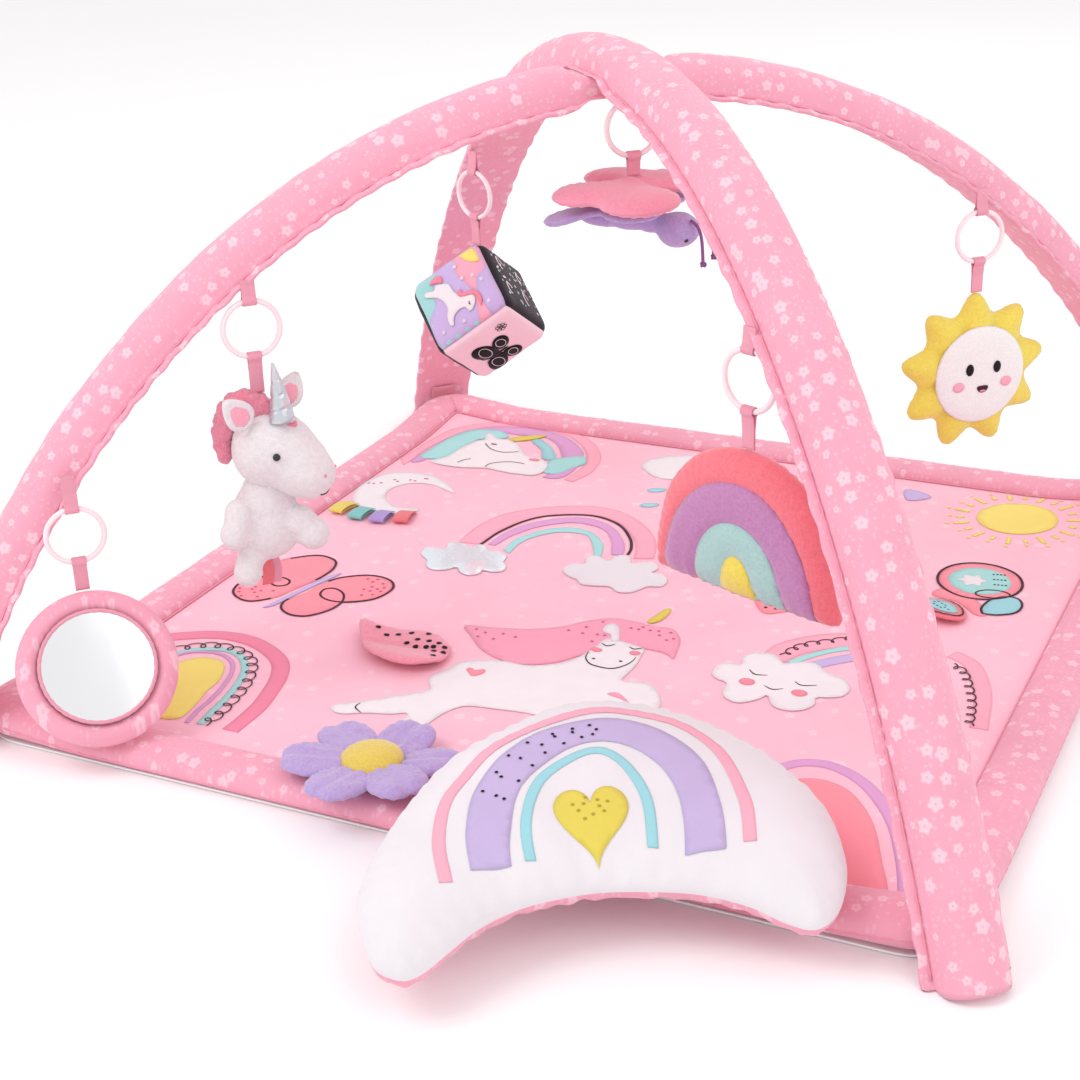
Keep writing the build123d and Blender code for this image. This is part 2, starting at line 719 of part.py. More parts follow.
with BuildPart() as cube_filling:
    add(cube_core.part)
    add(cube_chime.part, mode=Mode.SUBTRACT)
cube_filling.part.label = "cube_filling"

# ================================================================ RAINBOW
rp = hang_point(rainbow_c, upper_az, rainbow_ribbon_len)
rb_pl = face_plane(rp + Vector(0, 0, -0.8), upper_az)
with BuildPart() as rainbow_cushion:
    with BuildSketch(rb_pl.offset(-19)):
        with BuildLine():
            Polyline((-93, -98), (-93, -124), (93, -124), (93, -98))
            ThreePointArc((93, -98), (66, -32), (0, 0))
            ThreePointArc((0, 0), (-66, -32), (-93, -98))
        make_face()
    extrude(amount=38)
rainbow_cushion.part.label = "rainbow_cushion"

# ================================================================ TUMMY PILLOW
pil_m = Vector(245.0, -600.0, 0)
pn = Vector(-0.51, 0.86, 0).normalized()
pc = Vector(pn.Y, -pn.X, 0)
pil_slope = 0.17
pz = (Vector(-pil_slope * pn.X, -pil_slope * pn.Y, 1)).normalized()
pil_pl = Plane(origin=pil_m + Vector(0, 0, 37), x_dir=pc, z_dir=pz)
with BuildPart() as mat_block:
    with BuildSketch(Plane.XY.offset(-20)):
        Rectangle(mat_side + 1.2, mat_side + 1.2)
    extrude(amount=20 + border_top + 0.6)
    with BuildSketch(Plane.XY.offset(-60)):
        Rectangle(2200, 2200)
    extrude(amount=60.4)
with BuildPart() as pillow_blank:
    with BuildSketch(pil_pl.offset(-34)):
        with BuildLine():
            ThreePointArc((-164, 70), (9, 292), (182, 90))
            ThreePointArc((182, 90), (176, 46), (146, 34))
            ThreePointArc((146, 34), (10, 84), (-118, 26))
            ThreePointArc((-118, 26), (-150, 22), (-164, 70))
        make_face()
    extrude(amount=68)
    add(mat_block.part, mode=Mode.SUBTRACT)
with BuildPart() as pillow_filling:
    with BuildSketch(pil_pl.offset(-8)):
        with BuildLine():
            ThreePointArc((-150, 80), (9, 278), (168, 98))
            ThreePointArc((168, 98), (166, 60), (146, 50))
            ThreePointArc((146, 50), (10, 100), (-118, 42))
            ThreePointArc((-118, 42), (-140, 40), (-150, 80))
        make_face()
    extrude(amount=34)
pillow_filling.part.label = "pillow_filling"
with BuildPart() as pillow_cover:
    add(pillow_blank.part)
    add(pillow_filling.part, mode=Mode.SUBTRACT)
pillow_cover.part.label = "pillow_cover"

# ================================================================ EXPORT
pieces = [
    mat_bottom_cover.part, mat_batting.part, mat_top_cover.part,
    mat_border_front, mat_border_back, mat_border_left, mat_border_right,
    corner_straps, moon_tags.part, cloud_patches.part, flower_petals.part, flower_center.part,
    tail_flap.part, wing_flap.part,
    lower_sleeve, lower_arch_poles, lower_arch_spigots, lower_arch_foot_plugs, lower_leg_pads, lower_arch_tabs,
    upper_sleeve, upper_arch_poles, upper_arch_spigots, upper_arch_foot_plugs, upper_leg_pads, upper_arch_tabs,
    mirror_ring, unicorn_ring, butterfly_ring, sun_ring, cube_ring, rainbow_ring,
    mirror_ribbon, unicorn_ribbon, butterfly_ribbon, sun_ribbon, cube_ribbon, rainbow_ribbon,
    mirror_frame.part, mirror_disc.part,
    unicorn_head.part, unicorn_body.part, unicorn_horn.part, unicorn_mane.part, unicorn_ears.part, unicorn_tail.part,
    butterfly_wings_top.part, butterfly_wings_low.part, butterfly_body.part,
    antenna_left, antenna_right, antenna_knots,
    sun_rays.part, sun_face.part,
    cube_cover.part, cube_filling.part, cube_chime.part,
    rainbow_cushion.part,
    pillow_cover.part, pillow_filling.part,
]
for piece in pieces:
    export_step(piece, "parts/" + piece.label + ".step")
print(len(pieces), "pieces")
for nm, c, az, ln in (("mirror", mirror_c, lower_az, mirror_ribbon_len), ("unicorn", unicorn_c, lower_az, unicorn_ribbon_len),
                      ("butterfly", butterfly_c, lower_az, butterfly_ribbon_len), ("sun", sun_c, lower_az, sun_ribbon_len),
                      ("cube", cube_c, upper_az, cube_ribbon_len), ("rainbow", rainbow_c, upper_az, rainbow_ribbon_len)):
    t, h = local(c, az, 0, ring_R, 0), hang_point(c, az, ln)
    print(nm, "ring top", t, "ring centre", c, "hang", h)
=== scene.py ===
import math
import bpy
import numpy as np
from mathutils import Vector, Matrix, noise
from mathutils.geometry import delaunay_2d_cdt


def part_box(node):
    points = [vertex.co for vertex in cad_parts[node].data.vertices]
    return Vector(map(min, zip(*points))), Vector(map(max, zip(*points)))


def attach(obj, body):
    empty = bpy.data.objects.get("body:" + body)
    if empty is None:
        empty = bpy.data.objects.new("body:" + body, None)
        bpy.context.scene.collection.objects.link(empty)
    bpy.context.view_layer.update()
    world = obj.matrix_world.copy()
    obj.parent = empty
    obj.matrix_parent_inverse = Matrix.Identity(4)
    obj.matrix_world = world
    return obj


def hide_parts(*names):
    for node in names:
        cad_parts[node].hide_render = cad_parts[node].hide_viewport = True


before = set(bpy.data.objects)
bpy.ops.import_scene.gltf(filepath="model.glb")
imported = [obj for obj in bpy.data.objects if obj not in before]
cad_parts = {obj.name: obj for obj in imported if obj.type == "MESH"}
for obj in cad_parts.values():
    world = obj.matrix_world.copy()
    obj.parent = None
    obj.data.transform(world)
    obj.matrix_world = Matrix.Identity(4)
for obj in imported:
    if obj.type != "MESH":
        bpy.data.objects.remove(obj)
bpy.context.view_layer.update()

rng = np.random.default_rng(7)


# ------------------------------------------------------------ colour and materials
def lin(hexa):
    out = []
    for i in (0, 2, 4):
        c = int(hexa[i:i + 2], 16) / 255
        out.append(c / 12.92 if c <= 0.04045 else ((c + 0.055) / 1.055) ** 2.4)
    return (*out, 1.0)


class Mat:
    """A small helper round one node tree."""

    def __init__(self, name, rough=0.8, sheen=0.0, metallic=0.0, coat=0.0, spec=0.5, subsurface=0.0):
        self.m = bpy.data.materials.new(name)
        self.m.use_nodes = True
        self.t = self.m.node_tree
        self.b = self.t.nodes["Principled BSDF"]
        self.b.inputs["Roughness"].default_value = rough
        self.b.inputs["Metallic"].default_value = metallic
        self.b.inputs["Sheen Weight"].default_value = sheen
        self.b.inputs["Sheen Roughness"].default_value = 0.4
        self.b.inputs["Coat Weight"].default_value = coat
        self.b.inputs["Specular IOR Level"].default_value = spec
        self.tc = self.t.nodes.new("ShaderNodeTexCoord")

    def n(self, kind, **vals):
        nd = self.t.nodes.new(kind)
        for k, v in vals.items():
            setattr(nd, k, v)
        return nd

    def link(self, a, b):
        self.t.links.new(a, b)

    def obj(self):
        return self.tc.outputs["Object"]

    def uv(self):
        return self.tc.outputs["UV"]

    def math(self, op, a, b=None, c=None):
        nd = self.n("ShaderNodeMath", operation=op)
        for i, v in enumerate((a, b, c)):
            if v is None:
                continue
            if isinstance(v, (int, float)):
                nd.inputs[i].default_value = v
            else:
                self.link(v, nd.inputs[i])
        return nd.outputs[0]

    def noise(self, scale, detail=2.0, vec=None, rough=0.5):
        nd = self.n("ShaderNodeTexNoise")
        nd.inputs["Scale"].default_value = scale
        nd.inputs["Detail"].default_value = detail
        nd.inputs["Roughness"].default_value = rough
        self.link(vec or self.obj(), nd.inputs["Vector"])
        return nd.outputs["Fac"]

    def remap(self, v, a, b, c=0.0, d=1.0):
        nd = self.n("ShaderNodeMapRange")
        nd.clamp = True
        self.link(v, nd.inputs["Value"])
        for k, x in zip(("From Min", "From Max", "To Min", "To Max"), (a, b, c, d)):
            nd.inputs[k].default_value = x
        return nd.outputs[0]

    def mix(self, fac, a, b):
        nd = self.n("ShaderNodeMix", data_type="RGBA")
        if isinstance(fac, (int, float)):
            nd.inputs[0].default_value = fac
        else:
            self.link(fac, nd.inputs[0])
        for i, v in ((6, a), (7, b)):
            if isinstance(v, tuple):
                nd.inputs[i].default_value = v
            else:
                self.link(v, nd.inputs[i])
        return nd.outputs[2]

    def color(self, c):
        self.link(c, self.b.inputs["Base Color"])

    def bump(self, h, strength=0.3, dist=0.001):
        nd = self.n("ShaderNodeBump")
        nd.inputs["Strength"].default_value = strength
        nd.inputs["Distance"].default_value = dist
        self.link(h, nd.inputs["Height"])
        self.link(nd.outputs[0], self.b.inputs["Normal"])

    def weave(self, scale):
        """Crossed threads, as height 0..1."""
        out = []
        for d in ("X", "Y"):
            w = self.n("ShaderNodeTexWave", wave_type="BANDS", bands_direction=d)
            w.inputs["Scale"].default_value = scale
            w.inputs["Distortion"].default_value = 1.2
            w.inputs["Detail"].default_value = 1.0
            self.link(self.obj(), w.inputs["Vector"])
            out.append(w.outputs["Fac"])
        return self.math("MULTIPLY", out[0], out[1])

    def flowers(self, vec, scale, size, seed_cut=0.4):
        """Small scattered five-petal prints: 1 inside a flower."""
        v = self.n("ShaderNodeTexVoronoi", voronoi_dimensions="2D", feature="F1")
        v.inputs["Scale"].default_value = scale
        v.inputs["Randomness"].default_value = 0.8
        self.link(vec, v.inputs["Vector"])
        sub = self.n("ShaderNodeVectorMath", operation="SUBTRACT")
        sc = self.n("ShaderNodeVectorMath", operation="SCALE")
        self.link(vec, sc.inputs[0])
        sc.inputs["Scale"].default_value = 1.0
        self.link(sc.outputs[0], sub.inputs[0])
        self.link(v.outputs["Position"], sub.inputs[1])
        sep = self.n("ShaderNodeSeparateXYZ")
        self.link(sub.outputs[0], sep.inputs[0])
        col = self.n("ShaderNodeSeparateColor")
        self.link(v.outputs["Color"], col.inputs[0])
        ang = self.math("ARCTAN2", sep.outputs["Y"], sep.outputs["X"])
        ang = self.math("ADD", ang, self.math("MULTIPLY", col.outputs[1], 6.0))
        pet = self.math("COSINE", self.math("MULTIPLY", ang, 5.0))
        rad = self.math("MULTIPLY", self.math("ADD", self.math("MULTIPLY", pet, 0.12), 0.80), size)
        rad = self.math("MULTIPLY", rad, self.math("ADD", self.math("MULTIPLY", col.outputs[2], 0.6), 0.55))
        dist = self.math("SQRT", self.math("ADD", self.math("MULTIPLY", sep.outputs["X"], sep.outputs["X"]),
                                           self.math("MULTIPLY", sep.outputs["Y"], sep.outputs["Y"])))
        inside = self.remap(self.math("SUBTRACT", rad, dist), -0.0006, 0.0009)
        eye = self.remap(dist, size * 0.14, size * 0.22)
        show = self.math("GREATER_THAN", col.outputs[0], seed_cut)
        return self.math("MULTIPLY", self.math("MULTIPLY", inside, show), self.math("ADD", self.math("MULTIPLY", eye, 0.6), 0.4))


def cloth(name, hexa, hex2=None, sheen=0.25, rough=0.85, nap=0.0, weave=900.0, mottle=30.0, amount=0.35, bump=0.25):
    """Plain dyed cloth: two close shades, thread weave or nap in the bump."""
    m = Mat(name, rough=rough, sheen=sheen, spec=0.25)
    a = lin(hexa)
    b = lin(hex2) if hex2 else tuple([min(1, v * 0.86) for v in a[:3]] + [1.0])
    f = m.remap(m.noise(mottle, 4.0), 0.35, 0.7, 0.0, amount)
    fine = m.remap(m.noise(1400.0, 2.0), 0.3, 0.7, 0.0, 0.25)
    m.color(m.mix(m.math("ADD", f, fine), a, b))
    if nap:
        h = m.math("ADD", m.noise(nap, 3.0), m.math("MULTIPLY", m.noise(nap * 3, 2.0), 0.5))
        m.bump(h, bump, 0.0009)
    else:
        m.bump(m.math("ADD", m.weave(weave), m.math("MULTIPLY", m.noise(120.0, 3.0), 0.6)), bump, 0.0004)
    return m.m


def floral(name, ground, print_hex, use_uv=False, scale=62.0, size=0.0052, amount=0.8):
    """Pink cotton strewn with small pale flowers and specks."""
    m = Mat(name, rough=0.8, sheen=0.25, spec=0.3)
    vec = m.uv() if use_uv else m.obj()
    fl = m.flowers(vec, scale, size, 0.25)
    dots = m.n("ShaderNodeTexVoronoi", voronoi_dimensions="2D", feature="F1")
    dots.inputs["Scale"].default_value = scale * 3.1
    link_vec = vec
    m.link(link_vec, dots.inputs["Vector"])
    dcol = m.n("ShaderNodeSeparateColor")
    m.link(dots.outputs["Color"], dcol.inputs[0])
    dd = m.math("MULTIPLY", m.remap(dots.outputs["Distance"], 0.16, 0.27, 1.0, 0.0), m.math("GREATER_THAN", dcol.outputs[0], 0.45))
    p = m.math("MAXIMUM", fl, m.math("MULTIPLY", dd, 0.4))
    base = m.mix(m.remap(m.noise(26.0, 3.0), 0.35, 0.7, 0.0, 0.5), lin(ground), tuple([v * 0.90 for v in lin(ground)[:3]] + [1.0]))
    m.color(m.mix(m.math("MULTIPLY", p, amount), base, lin(print_hex)))
    m.bump(m.math("ADD", m.weave(900.0), m.math("MULTIPLY", m.noise(110.0, 3.0), 0.8)), 0.25, 0.0005)
    return m.m


def plush(name, hexa, hex2, scale=260.0, strength=0.9):
    """Short-pile plush: clumped nap and strong sheen."""
    m = Mat(name, rough=0.95, sheen=0.7, spec=0.15)
    f = m.remap(m.noise(scale, 4.0, rough=0.7), 0.32, 0.68)
    m.color(m.mix(f, lin(hex2), lin(hexa)))
    m.bump(m.math("ADD", m.noise(scale, 4.0, rough=0.7), m.math("MULTIPLY", m.noise(scale * 3.0, 3.0), 0.6)), strength, 0.0016)
    return m.m


def plastic(name, hexa, rough=0.25):
    m = Mat(name, rough=rough, coat=0.3, spec=0.5)
    m.color(m.mix(m.remap(m.noise(40.0, 2.0), 0.3, 0.7, 0.0, 0.12), lin(hexa), tuple([v * 0.9 for v in lin(hexa)[:3]] + [1.0])))
    m.bump(m.noise(300.0, 2.0), 0.05, 0.0002)
    return m.m


def ink(name, hexa, rough=0.85):
    """Flat print ink on cloth, with the cloth's threads showing."""
    m = Mat(name, rough=rough, sheen=0.15, spec=0.2)
    f = m.remap(m.noise(1200.0, 2.0), 0.3, 0.75, 0.0, 0.30)
    g = m.remap(m.noise(35.0, 3.0), 0.4, 0.7, 0.0, 0.2)
    a = lin(hexa)
    m.color(m.mix(m.math("ADD", f, g), a, tuple([v * 0.86 for v in a[:3]] + [1.0])))
    m.bump(m.weave(900.0), 0.2, 0.0004)
    return m.m


def holo(name, c_a="E4DCEA", c_b="CFE4EA", c_c="F3D6E2", metal=0.65):
    """Silvery crinkle cloth with soft colour shift over its surface."""
    m = Mat(name, rough=0.30, metallic=metal, sheen=0.1, spec=0.6)
    hue = m.noise(22.0, 2.0)
    c1 = m.mix(m.remap(hue, 0.35, 0.5), lin(c_a), lin(c_b))
    c2 = m.mix(m.remap(hue, 0.5, 0.65), c1, lin(c_c))
    m.color(c2)
    m.bump(m.noise(160.0, 4.0), 0.8, 0.0015)
    return m.m


PINK_MAT = Mat("cotton_quilt_top", rough=0.82, sheen=0.2, spec=0.25)
_f = PINK_MAT.flowers(PINK_MAT.obj(), 30.0, 0.006, 0.2)
_b = PINK_MAT.mix(PINK_MAT.remap(PINK_MAT.noise(14.0, 3.0), 0.35, 0.7, 0.0, 0.45), lin("FBC3D3"), lin("F9B6C9"))
PINK_MAT.color(PINK_MAT.mix(PINK_MAT.math("MULTIPLY", _f, 0.35), _b, lin("FFE6EC")))
PINK_MAT.bump(PINK_MAT.math("ADD", PINK_MAT.weave(900.0), PINK_MAT.math("MULTIPLY", PINK_MAT.noise(60.0, 4.0), 1.2)), 0.22, 0.0006)
PINK_MAT = PINK_MAT.m

M = {
    "floral": floral("cotton_floral_border", "F2A6BB", "FBD5E0", scale=56.0, size=0.0058, amount=0.62),
    "floral_uv": floral("cotton_floral_sleeve", "F3A9BE", "FCD9E3", use_uv=True, scale=56.0, size=0.0058, amount=0.66),
    "seam": cloth("seam_thread", "F19DB3", "EB8FA8", weave=1500.0),
    "backing": cloth("backing_cloth", "FBFAFB", "EFEDEF"),
    "white_cotton": cloth("white_cotton", "E9E4E8", "DFD9DF", mottle=14.0),
    "coral_velour": plush("coral_velour", "F5848E", "EC727F", 420.0, 0.4),
    "pink_velour": plush("pink_velour", "F4A3B8", "EC90A8", 420.0, 0.4),
    "rose_velour": plush("rose_velour", "F5A0B2", "EC8BA1", 420.0, 0.4),
    "mauve_velour": plush("mauve_velour", "C98FBC", "B97DAE", 420.0, 0.4),
    "lavender_velour": plush("lavender_velour", "C4AEDD", "AF96CE", 420.0, 0.5),
    "teal_velour": plush("teal_velour", "B4D6D2", "A3C8C5", 420.0, 0.4),
    "yellow_velour": plush("yellow_velour", "F5E06E", "EAD254", 420.0, 0.4),
    "gold_velour": plush("gold_velour", "E9D06A", "D9BC4E", 420.0, 0.4),
    "white_velour": plush("white_velour", "F6F2F1", "ECE6E6", 420.0, 0.3),
    "white_plush": plush("white_plush", "EFE9EB", "E2DADD", 260.0, 0.7),
    "pink_plush": plush("pink_plush", "F29AAE", "E6809A", 230.0, 1.0),
    "inner_pink": plush("ear_lining", "FAB6C5", "F4A2B5", 420.0, 0.4),
    "silver": holo("silver_crinkle", "F1ECF2", "DCEBEF", "F8E3EA", 0.35),
    "ring": plastic("pale_moulding", "F8E4E9"),
    "ribbon": cloth("grosgrain_ribbon", "F4A9BC", "EE9BB0", weave=1400.0, bump=0.5),
    "teal_ribbon": cloth("teal_ribbon", "8ED3D0", "7CC3C0", weave=1400.0, bump=0.5),
    "gold_ribbon": cloth("yellow_ribbon", "F5DE72", "E9CE58", weave=1400.0, bump=0.5),
    "lilac_ribbon": cloth("lilac_ribbon", "BBA3DE", "A98FD0", weave=1400.0, bump=0.5),
    "coral_ribbon": cloth("coral_ribbon", "F6838A", "E87078", weave=1400.0, bump=0.5),
    "cord": cloth("twisted_cord", "B06AAE", "8C4F92", weave=2400.0, bump=0.8),
    "black": ink("black_thread", "2B1E26", 0.6),
    "ink_dark": ink("ink_dark", "4A2436"),
    "ink_white": ink("ink_white", "EFE8EC"),
    "ink_mane": ink("ink_mane_pink", "F8A5BC"),
    "ink_rose": ink("ink_rose", "FAAFC3"),
    "ink_soft": ink("ink_soft_pink", "FBAFC2"),
    "ink_deep": ink("ink_deep_pink", "F08CA8"),
    "ink_coral": ink("ink_coral", "FE98A6"),
    "ink_purple": ink("ink_purple", "DDA3D2"),
    "ink_lilac": ink("ink_lilac", "CBB6E3"),
    "ink_violet": ink("ink_violet", "C6B4DC"),
    "ink_teal": ink("ink_teal", "A9DEDD"),
    "ink_aqua": ink("ink_aqua", "9FD5DE"),
    "ink_yellow": ink("ink_yellow", "F6E37A"),
    "ink_gold": ink("ink_gold", "E3D05C"),
    "ink_olive": ink("ink_olive", "B8A238"),
    "ink_rosedot": ink("ink_rose_dot", "D4688C"),
    "ink_blush": ink("ink_blush", "F48FA2"),
    "ink_grey": ink("ink_grey", "8D6F80"),
    "ink_plain_black": ink("ink_black", "1E1A20"),
    "pale_pink_cotton": cloth("pale_pink_cotton", "F8DEE6", "F2D2DC"),
    "black_cotton": cloth("black_cotton", "26222A", "1B181F"),
    "lavender_cotton": cloth("lavender_cotton", "CDB6E4", "BFA6DA"),
    "teal_cotton": cloth("teal_cotton", "A6DAD8", "97CDCC"),
    "iridescent": holo("horn_satin", "D4D2D8", "C9D3D8", "E0D3DA", 0.75),
}


# ------------------------------------------------------------ mesh helpers
def add_mesh(name, verts, faces, mats, idx=None, uvs=None, smooth=True):
    me = bpy.data.meshes.new(name)
    me.from_pydata([tuple(map(float, v)) for v in verts], [], [tuple(int(i) for i in f) for f in faces])
    for m in mats:
        me.materials.append(m)
    if idx is not None:
        me.polygons.foreach_set("material_index", np.asarray(idx, dtype=np.int32))
    if uvs is not None:
        lay = me.uv_layers.new(name="UVMap")
        loops = np.zeros(len(me.loops), dtype=np.int32)
        me.loops.foreach_get("vertex_index", loops)
        uv = np.asarray(uvs, dtype=np.float32)
        if len(uv) == len(verts):
            lay.data.foreach_set("uv", uv[loops].ravel())
        else:
            lay.data.foreach_set("uv", uv.ravel())
    me.polygons.foreach_set("use_smooth", np.full(len(me.polygons), smooth))
    me.update()
    ob = bpy.data.objects.new(name, me)
    bpy.context.scene.collection.objects.link(ob)
    return ob


def catmull(pts, n=8, closed=True):
    P = np.asarray(pts, float)
    N = len(P)
    out = []
    rngi = range(N) if closed else range(N - 1)
    for i in rngi:
        if closed:
            p0, p1, p2, p3 = P[(i - 1) % N], P[i], P[(i + 1) % N], P[(i + 2) % N]
        else:
            p0, p1, p2, p3 = P[max(i - 1, 0)], P[i], P[i + 1], P[min(i + 2, N - 1)]
        for k in range(n):
            t = k / n
            out.append(0.5 * ((2 * p1) + (-p0 + p2) * t + (2 * p0 - 5 * p1 + 4 * p2 - p3) * t * t
                              + (-p0 + 3 * p1 - 3 * p2 + p3) * t ** 3))
    if not closed:
        out.append(P[-1])
    return np.array(out)


def resample(P, step, closed=True):
    P = np.asarray(P, float)
    Q = np.vstack([P, P[:1]]) if closed else P
    seg = np.linalg.norm(np.diff(Q, axis=0), axis=1)
    s = np.concatenate([[0], np.cumsum(seg)])
    n = max(int(round(s[-1] / step)), 6)
    t = np.linspace(0, s[-1], n + 1)
    if closed:
        t = t[:-1]
    return np.stack([np.interp(t, s, Q[:, k]) for k in range(P.shape[1])], 1)


def seg_dist(pts, poly):
    """Distance of each point to a closed outline, and how far round it is."""
    A = poly
    B = np.roll(poly, -1, axis=0)
    AB = B - A
    L = np.linalg.norm(AB, axis=1)
    S = np.concatenate([[0], np.cumsum(L)])
    best = np.full(len(pts), 1e9)
    arc = np.zeros(len(pts))
    for i in range(len(A)):
        w = pts - A[i]
        t = np.clip((w @ AB[i]) / max(L[i] ** 2, 1e-18), 0, 1)
        d = np.linalg.norm(w - t[:, None] * AB[i], axis=1)
        m = d < best
        best[m] = d[m]
        arc[m] = S[i] + t[m] * L[i]
    return best, arc, S[-1]


def inside(pts, poly):
    x, y = pts[:, 0], pts[:, 1]
    r = np.zeros(len(pts), bool)
    n = len(poly)
    j = n - 1
    for i in range(n):
        xi, yi = poly[i]
        xj, yj = poly[j]
        if abs(yj - yi) > 1e-12:
            c = ((yi > y) != (yj > y)) & (x < (xj - xi) * (y - yi) / (yj - yi) + xi)
            r ^= c
        j = i
    return r


def fill(outer, holes=(), step=0.006, rings=()):
    """Triangles filling an outline, with extra rows of points just inside it."""
    outer = np.asarray(outer, float)
    loops = [outer] + [np.asarray(h, float) for h in holes]
    lo, hi = outer.min(0), outer.max(0)
    gx = np.arange(lo[0], hi[0] + step, step)
    gy = np.arange(lo[1], hi[1] + step, step * 0.866)
    g = np.array([(x + (0.5 * step if k % 2 else 0), y) for k, y in enumerate(gy) for x in gx])
    allb = [seg_dist(g, l)[0] for l in loops]
    d = np.min(allb, axis=0)
    far = max(rings) if len(rings) else 0.0
    keep = inside(g, outer) & (d > far + step * 0.55)
    for h in loops[1:]:
        keep &= ~inside(g, h)
    pts = [g[keep]]
    for l, sgn in [(loops[0], 1)] + [(h, -1) for h in loops[1:]]:
        area = 0.5 * np.sum(l[:, 0] * np.roll(l[:, 1], -1) - np.roll(l[:, 0], -1) * l[:, 1])
        tang = np.roll(l, -1, 0) - np.roll(l, 1, 0)
        nrm = np.stack([-tang[:, 1], tang[:, 0]], 1)
        nrm /= np.maximum(np.linalg.norm(nrm, axis=1), 1e-12)[:, None]
        if area < 0:
            nrm = -nrm
        nrm *= sgn
        for r in rings:
            q = l + nrm * r
            dd = np.min([seg_dist(q, m)[0] for m in loops], axis=0)
            ok = inside(q, outer) & (dd > r * 0.93)
            for h in loops[1:]:
                ok &= ~inside(q, h)
            pts.append(q[ok])
    inner = np.vstack(pts)
    # thin out points that nearly coincide
    key = np.round(inner / (step * 0.28)).astype(int)
    _, ui = np.unique(key, axis=0, return_index=True)
    inner = inner[np.sort(ui)]
    V = [Vector(p) for l in loops for p in l] + [Vector(p) for p in inner]
    E = []
    k = 0
    for l in loops:
        E += [(k + i, k + (i + 1) % len(l)) for i in range(len(l))]
        k += len(l)
    nb = k
    v2, e2, f2, ov, oe, of_ = delaunay_2d_cdt(V, E, [], 1, 1e-7)
    P = np.array([tuple(v) for v in v2])
    F = np.array([f for f in f2 if len(f) == 3])
    c = P[F].mean(1)
    ok = inside(c, outer)
    for h in loops[1:]:
        ok &= ~inside(c, h)
    F = F[ok]
    a = P[F]
    area2 = (a[:, 1, 0] - a[:, 0, 0]) * (a[:, 2, 1] - a[:, 0, 1]) - (a[:, 1, 1] - a[:, 0, 1]) * (a[:, 2, 0] - a[:, 0, 0])
    F = F[np.abs(area2) > 1e-13]
    area2 = area2[np.abs(area2) > 1e-13]
    F[area2 < 0] = F[area2 < 0][:, ::-1]
    return P, F, loops


def vnoise(P, scale, seed=0.0):
    out = np.empty(len(P))
    for i, p in enumerate(P):
        q = (p[0] * scale + seed, p[1] * scale - seed, (p[2] * scale if len(p) > 2 else 0.0) + seed * 0.5)
        out[i] = noise.noise(q)
    return out


